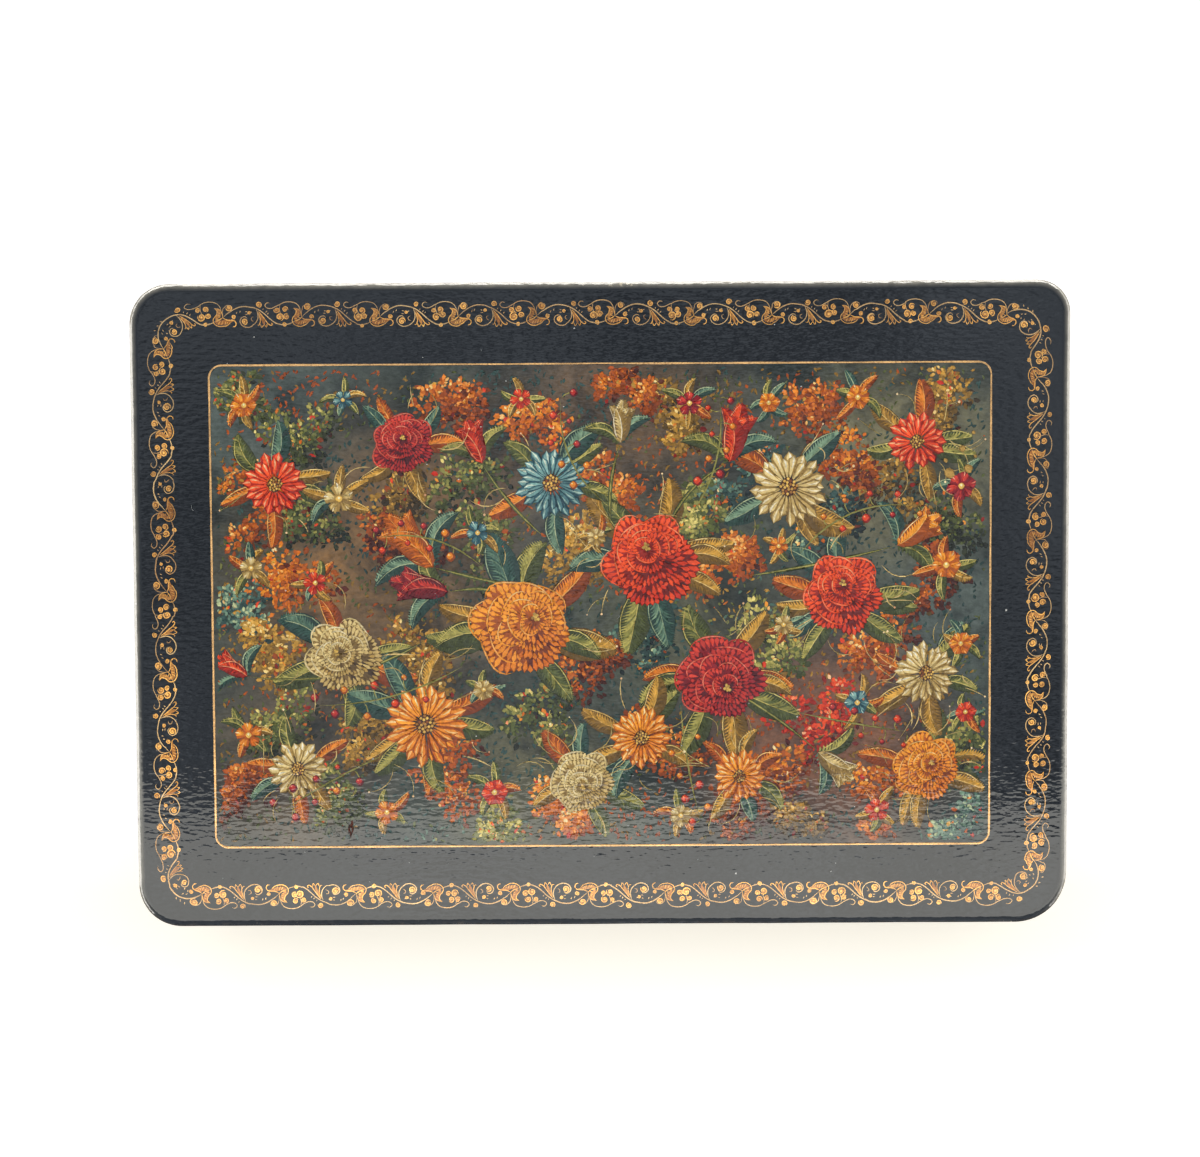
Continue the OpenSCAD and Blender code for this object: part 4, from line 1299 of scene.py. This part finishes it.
wear = random.Random(57)
paint_top = 1 + max(pile.values())
flake_brown, flake_ochre = 0x8E6A34, 0xC49A50
stain_dark, stain_brown = 0x2A120A, 0x5A2412
scratch_dark, scratch_pale = 0x4A5258, 0xC8CCCA
speck_grey, speck_pale = 0x9EA4A4, 0xF0EFE8
stain_place = -51.5 - 44.6j
scratch_count = 34
speck_count = 85
worn_half_w, worn_half_d = 90, 60
flakes = [(74.4 + 27.5j, 1.0), (70.6 + 26.6j, 1.15), (73.2 + 31.6j, 0.7), (75.6 + 22.4j, 0.55),
          (69.8 + 29.2j, 0.5), (75.4 + 34.8j, 0.45), (52 + 33.4j, 0.4), (75.8 + 30j, 0.4)]
wear_marks = []
for middle, radius in flakes:
    for turn in range(5):
        across = aim(turn * 0.63 + wear.uniform(0, 0.3), radius * wear.uniform(0.8, 1.1))
        wear_marks.append((bowed(middle - across, middle + across, 0.05, 6),
                           [radius * s for s in (0, 0.45, 0.62, 0.66, 0.6, 0.4, 0)],
                           blend(flake_brown, flake_ochre, turn / 4), paint_top + turn))
for k in range(7):
    start = stain_place + complex(wear.gauss(0, 0.45), wear.gauss(0, 0.5))
    end = start + complex(wear.gauss(0, 0.12), -wear.uniform(0.8, 2.4))
    wear_marks.append((bowed(start, end, wear.uniform(-0.1, 0.1), 4), [0, 0.16, 0.21, 0.14, 0],
                       blend(stain_dark, stain_brown, wear.random()), paint_top + k))
for _ in range(scratch_count):
    start = complex(wear.uniform(-worn_half_w, worn_half_w), wear.uniform(-worn_half_d, worn_half_d))
    turn = wear.uniform(0, full_turn)
    path = bowed(start, start + aim(turn, wear.uniform(0.6, 1.8)), wear.uniform(-0.3, 0.3), 5)
    wear_marks.append((path, [0, 0.035, 0.05, 0.045, 0.03, 0],
                       blend(scratch_dark, scratch_pale, wear.random() ** 2), paint_top + 8))
for _ in range(speck_count):
    start = complex(wear.uniform(-worn_half_w, worn_half_w), wear.uniform(-worn_half_d, worn_half_d))
    size = wear.uniform(0.08, 0.22)
    wear_marks.append(([start, start + size, start + 2 * size], [0, size * 0.8, 0],
                       blend(speck_grey, speck_pale, wear.random()), paint_top + 9))
worn_spots = lay_strokes("wear_marks", wear_marks, paint_z, film_relief, film)
worn_spots.data.materials.append(worn_varnish("worn_varnish"))
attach(worn_spots, "lid")
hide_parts("painted_panel")


# ---------- Light, floor and camera ----------
# A pale table under soft studio light. A strip above the far edge gives the soft shadow towards
# the front, deepened there by painted warm shade on the table. The varnish mirrors a dim ceiling,
# bright low cards at the left, right and back, and a wide card that hangs over the front edge.
camera_place = Vector((-0.9, 36.4, 536)) * mm
camera_turn = [math.radians(a) for a in (-3.627, -0.095, -0.289)]
camera_data = bpy.data.cameras.new("camera")
camera_data.lens = 72
camera_data.clip_start = 0.01
camera = bpy.data.objects.new("camera", camera_data)
camera.location = camera_place
camera.rotation_euler = camera_turn
bpy.context.collection.objects.link(camera)
bpy.context.scene.camera = camera
bpy.context.scene.view_settings.view_transform = "Standard"

ceiling_patches = 16
ceiling_dim, ceiling_bright = 0.45, 1.35
ceiling_tint = (0.86, 0.95, 1.06, 1)
room_light = 0.5


def studio_world(name):
    """White to the camera, an even pale room to the light, and in the varnish a cool ceiling whose
    dim and bright patches break up what the ripples mirror."""
    world = bpy.data.worlds.new(name)
    world.use_nodes = True
    tree = world.node_tree
    seen = add_node(tree, "LightPath")
    direction = add_node(tree, "TexCoord").outputs["Generated"]
    patches = add_node(tree, "TexNoise", {
        "Vector": direction, "Scale": ceiling_patches, "Detail": 3})
    ceiling = add_node(tree, "MapRange", {
        "Value": patches.outputs["Fac"], "From Min": 0.34, "From Max": 0.66,
        "To Min": ceiling_dim, "To Max": ceiling_bright})
    lit = add_node(tree, "Mix", {
        0: seen.outputs["Is Glossy Ray"], 2: room_light, 3: ceiling.outputs[0]})
    plain = add_node(tree, "Math", {
        "operation": "MAXIMUM", 0: seen.outputs["Is Camera Ray"],
        1: seen.outputs["Is Transmission Ray"]})
    level = add_node(tree, "Mix", {0: plain.outputs[0], 2: lit.outputs[0], 3: 1.0})
    cool = add_node(tree, "Mix", {
        "data_type": "RGBA", 0: seen.outputs["Is Glossy Ray"], 6: (1, 1, 1, 1),
        7: ceiling_tint})
    tree.links.new(cool.outputs[2], tree.nodes["Background"].inputs["Color"])
    tree.links.new(level.outputs[0], tree.nodes["Background"].inputs["Strength"])
    return world


bpy.context.scene.world = studio_world("studio")


def soft_lamp(name, place, target, size, radiance, colour=(1, 1, 1), mirrored=True):
    """A rectangular soft lamp at a place, facing its target, of this radiance. A mirrored lamp is
    only seen in the varnish, and any other only lights."""
    data = bpy.data.lights.new(name, "AREA")
    data.shape = "RECTANGLE"
    data.size, data.size_y = size
    data.color = colour
    data.energy = radiance * math.pi * size[0] * size[1]
    lamp = bpy.data.objects.new(name, data)
    lamp.matrix_world = Matrix.LocRotScale(
        place, (target - place).to_track_quat("-Z", "Y"), None)
    lamp.visible_camera = False
    lamp.visible_diffuse = not mirrored
    lamp.visible_glossy = mirrored
    bpy.context.collection.objects.link(lamp)


soft_lamp("key_lamp", Vector((0.03, 0.28, 0.95)), Vector((0, 0, 0.03)), (0.9, 0.35), 3.8,
          mirrored=False)
front_card_y = -0.159
soft_lamp("front_card", Vector((0, front_card_y, lid_top + 0.2)), Vector((0, front_card_y, 0)),
          (1.3, 0.17), 3.15, (1, 0.97, 0.87))
card_middle = Vector((0, 0, 0.13))
card_size = (2.2, 0.26)
card_white = (1, 0.97, 0.91)
for name, aside, radiance in (("left_card", Vector((-1.1, 0, 0)), 9.5),
                              ("right_card", Vector((1.1, 0, 0)), 6),
                              ("back_card", Vector((0, 1.1, 0)), 14)):
    soft_lamp(name, card_middle + aside, card_middle, card_size, radiance, card_white)

table_white = linear(0xFAF8F3)
table_cloud = linear(0xF5F2EC)
table_cloud_width = 60 * mm
plain_glow = (1.03, 1.03, 1.03, 1)
# The weaker, warmer glow in front of the box is painted shade.
painted_shade_glow = (1, 0.945, 0.81, 1)
glow_strength = 0.66
dimmed_share = 0.26
# Where the painted shade in front of the box fades in, from the front and from the back.
painted_shade_front_y = -115 * mm
painted_shade_full_front_y = -80 * mm
painted_shade_full_back_y = -68 * mm
painted_shade_back_y = -50 * mm


def white_table(name):
    """Matt white paint, a little cloudy. For the camera it is dimmed and glows a little, so that it
    stays pale with a soft shadow; in a band in front of the box the glow is weaker and warmer, a
    painted warm shade. The light and the varnish meet the plain paint."""
    material, tree, shader = new_finish(name, {"Roughness": 0.9, "Specular IOR Level": 0.1})
    place = add_node(tree, "TexCoord").outputs["Object"]
    cloud = add_node(tree, "TexNoise", {
        "Vector": place, "Scale": 1 / table_cloud_width, "Detail": 2})
    white = add_node(tree, "Mix", {
        "data_type": "RGBA", 0: cloud.outputs["Fac"], 6: table_white, 7: table_cloud})
    tree.links.new(white.outputs[2], shader.inputs["Base Color"])
    at = add_node(tree, "SeparateXYZ", {"Vector": place})
    ahead = add_node(tree, "MapRange", {
        "Value": at.outputs["Y"], "From Min": painted_shade_back_y, "From Max": painted_shade_full_back_y})
    near = add_node(tree, "MapRange", {
        "Value": at.outputs["Y"], "From Min": painted_shade_front_y, "From Max": painted_shade_full_front_y})
    both = add_node(tree, "Math", {
        "operation": "MULTIPLY", 0: ahead.outputs[0], 1: near.outputs[0]})
    glow_with_painted_shade = add_node(tree, "Mix", {
        "data_type": "RGBA", 0: both.outputs[0], 6: plain_glow, 7: painted_shade_glow})
    glow = add_node(tree, "Emission", {"Color": glow_with_painted_shade.outputs[2], "Strength": glow_strength})
    dim = add_node(tree, "MixShader", {0: dimmed_share, 1: shader.outputs[0]})
    seen_floor = add_node(tree, "AddShader", {0: dim.outputs[0], 1: glow.outputs[0]})
    ray = add_node(tree, "LightPath")
    choice = add_node(tree, "MixShader", {
        0: ray.outputs["Is Camera Ray"], 1: shader.outputs[0], 2: seen_floor.outputs[0]})
    tree.links.new(choice.outputs[0], tree.nodes["Material Output"].inputs["Surface"])
    return material


floor_mesh = bmesh.new()
bmesh.ops.create_grid(floor_mesh, x_segments=2, y_segments=2, size=3)
floor = finished("table_top", floor_mesh)
floor.data.materials.append(white_table("white_table"))
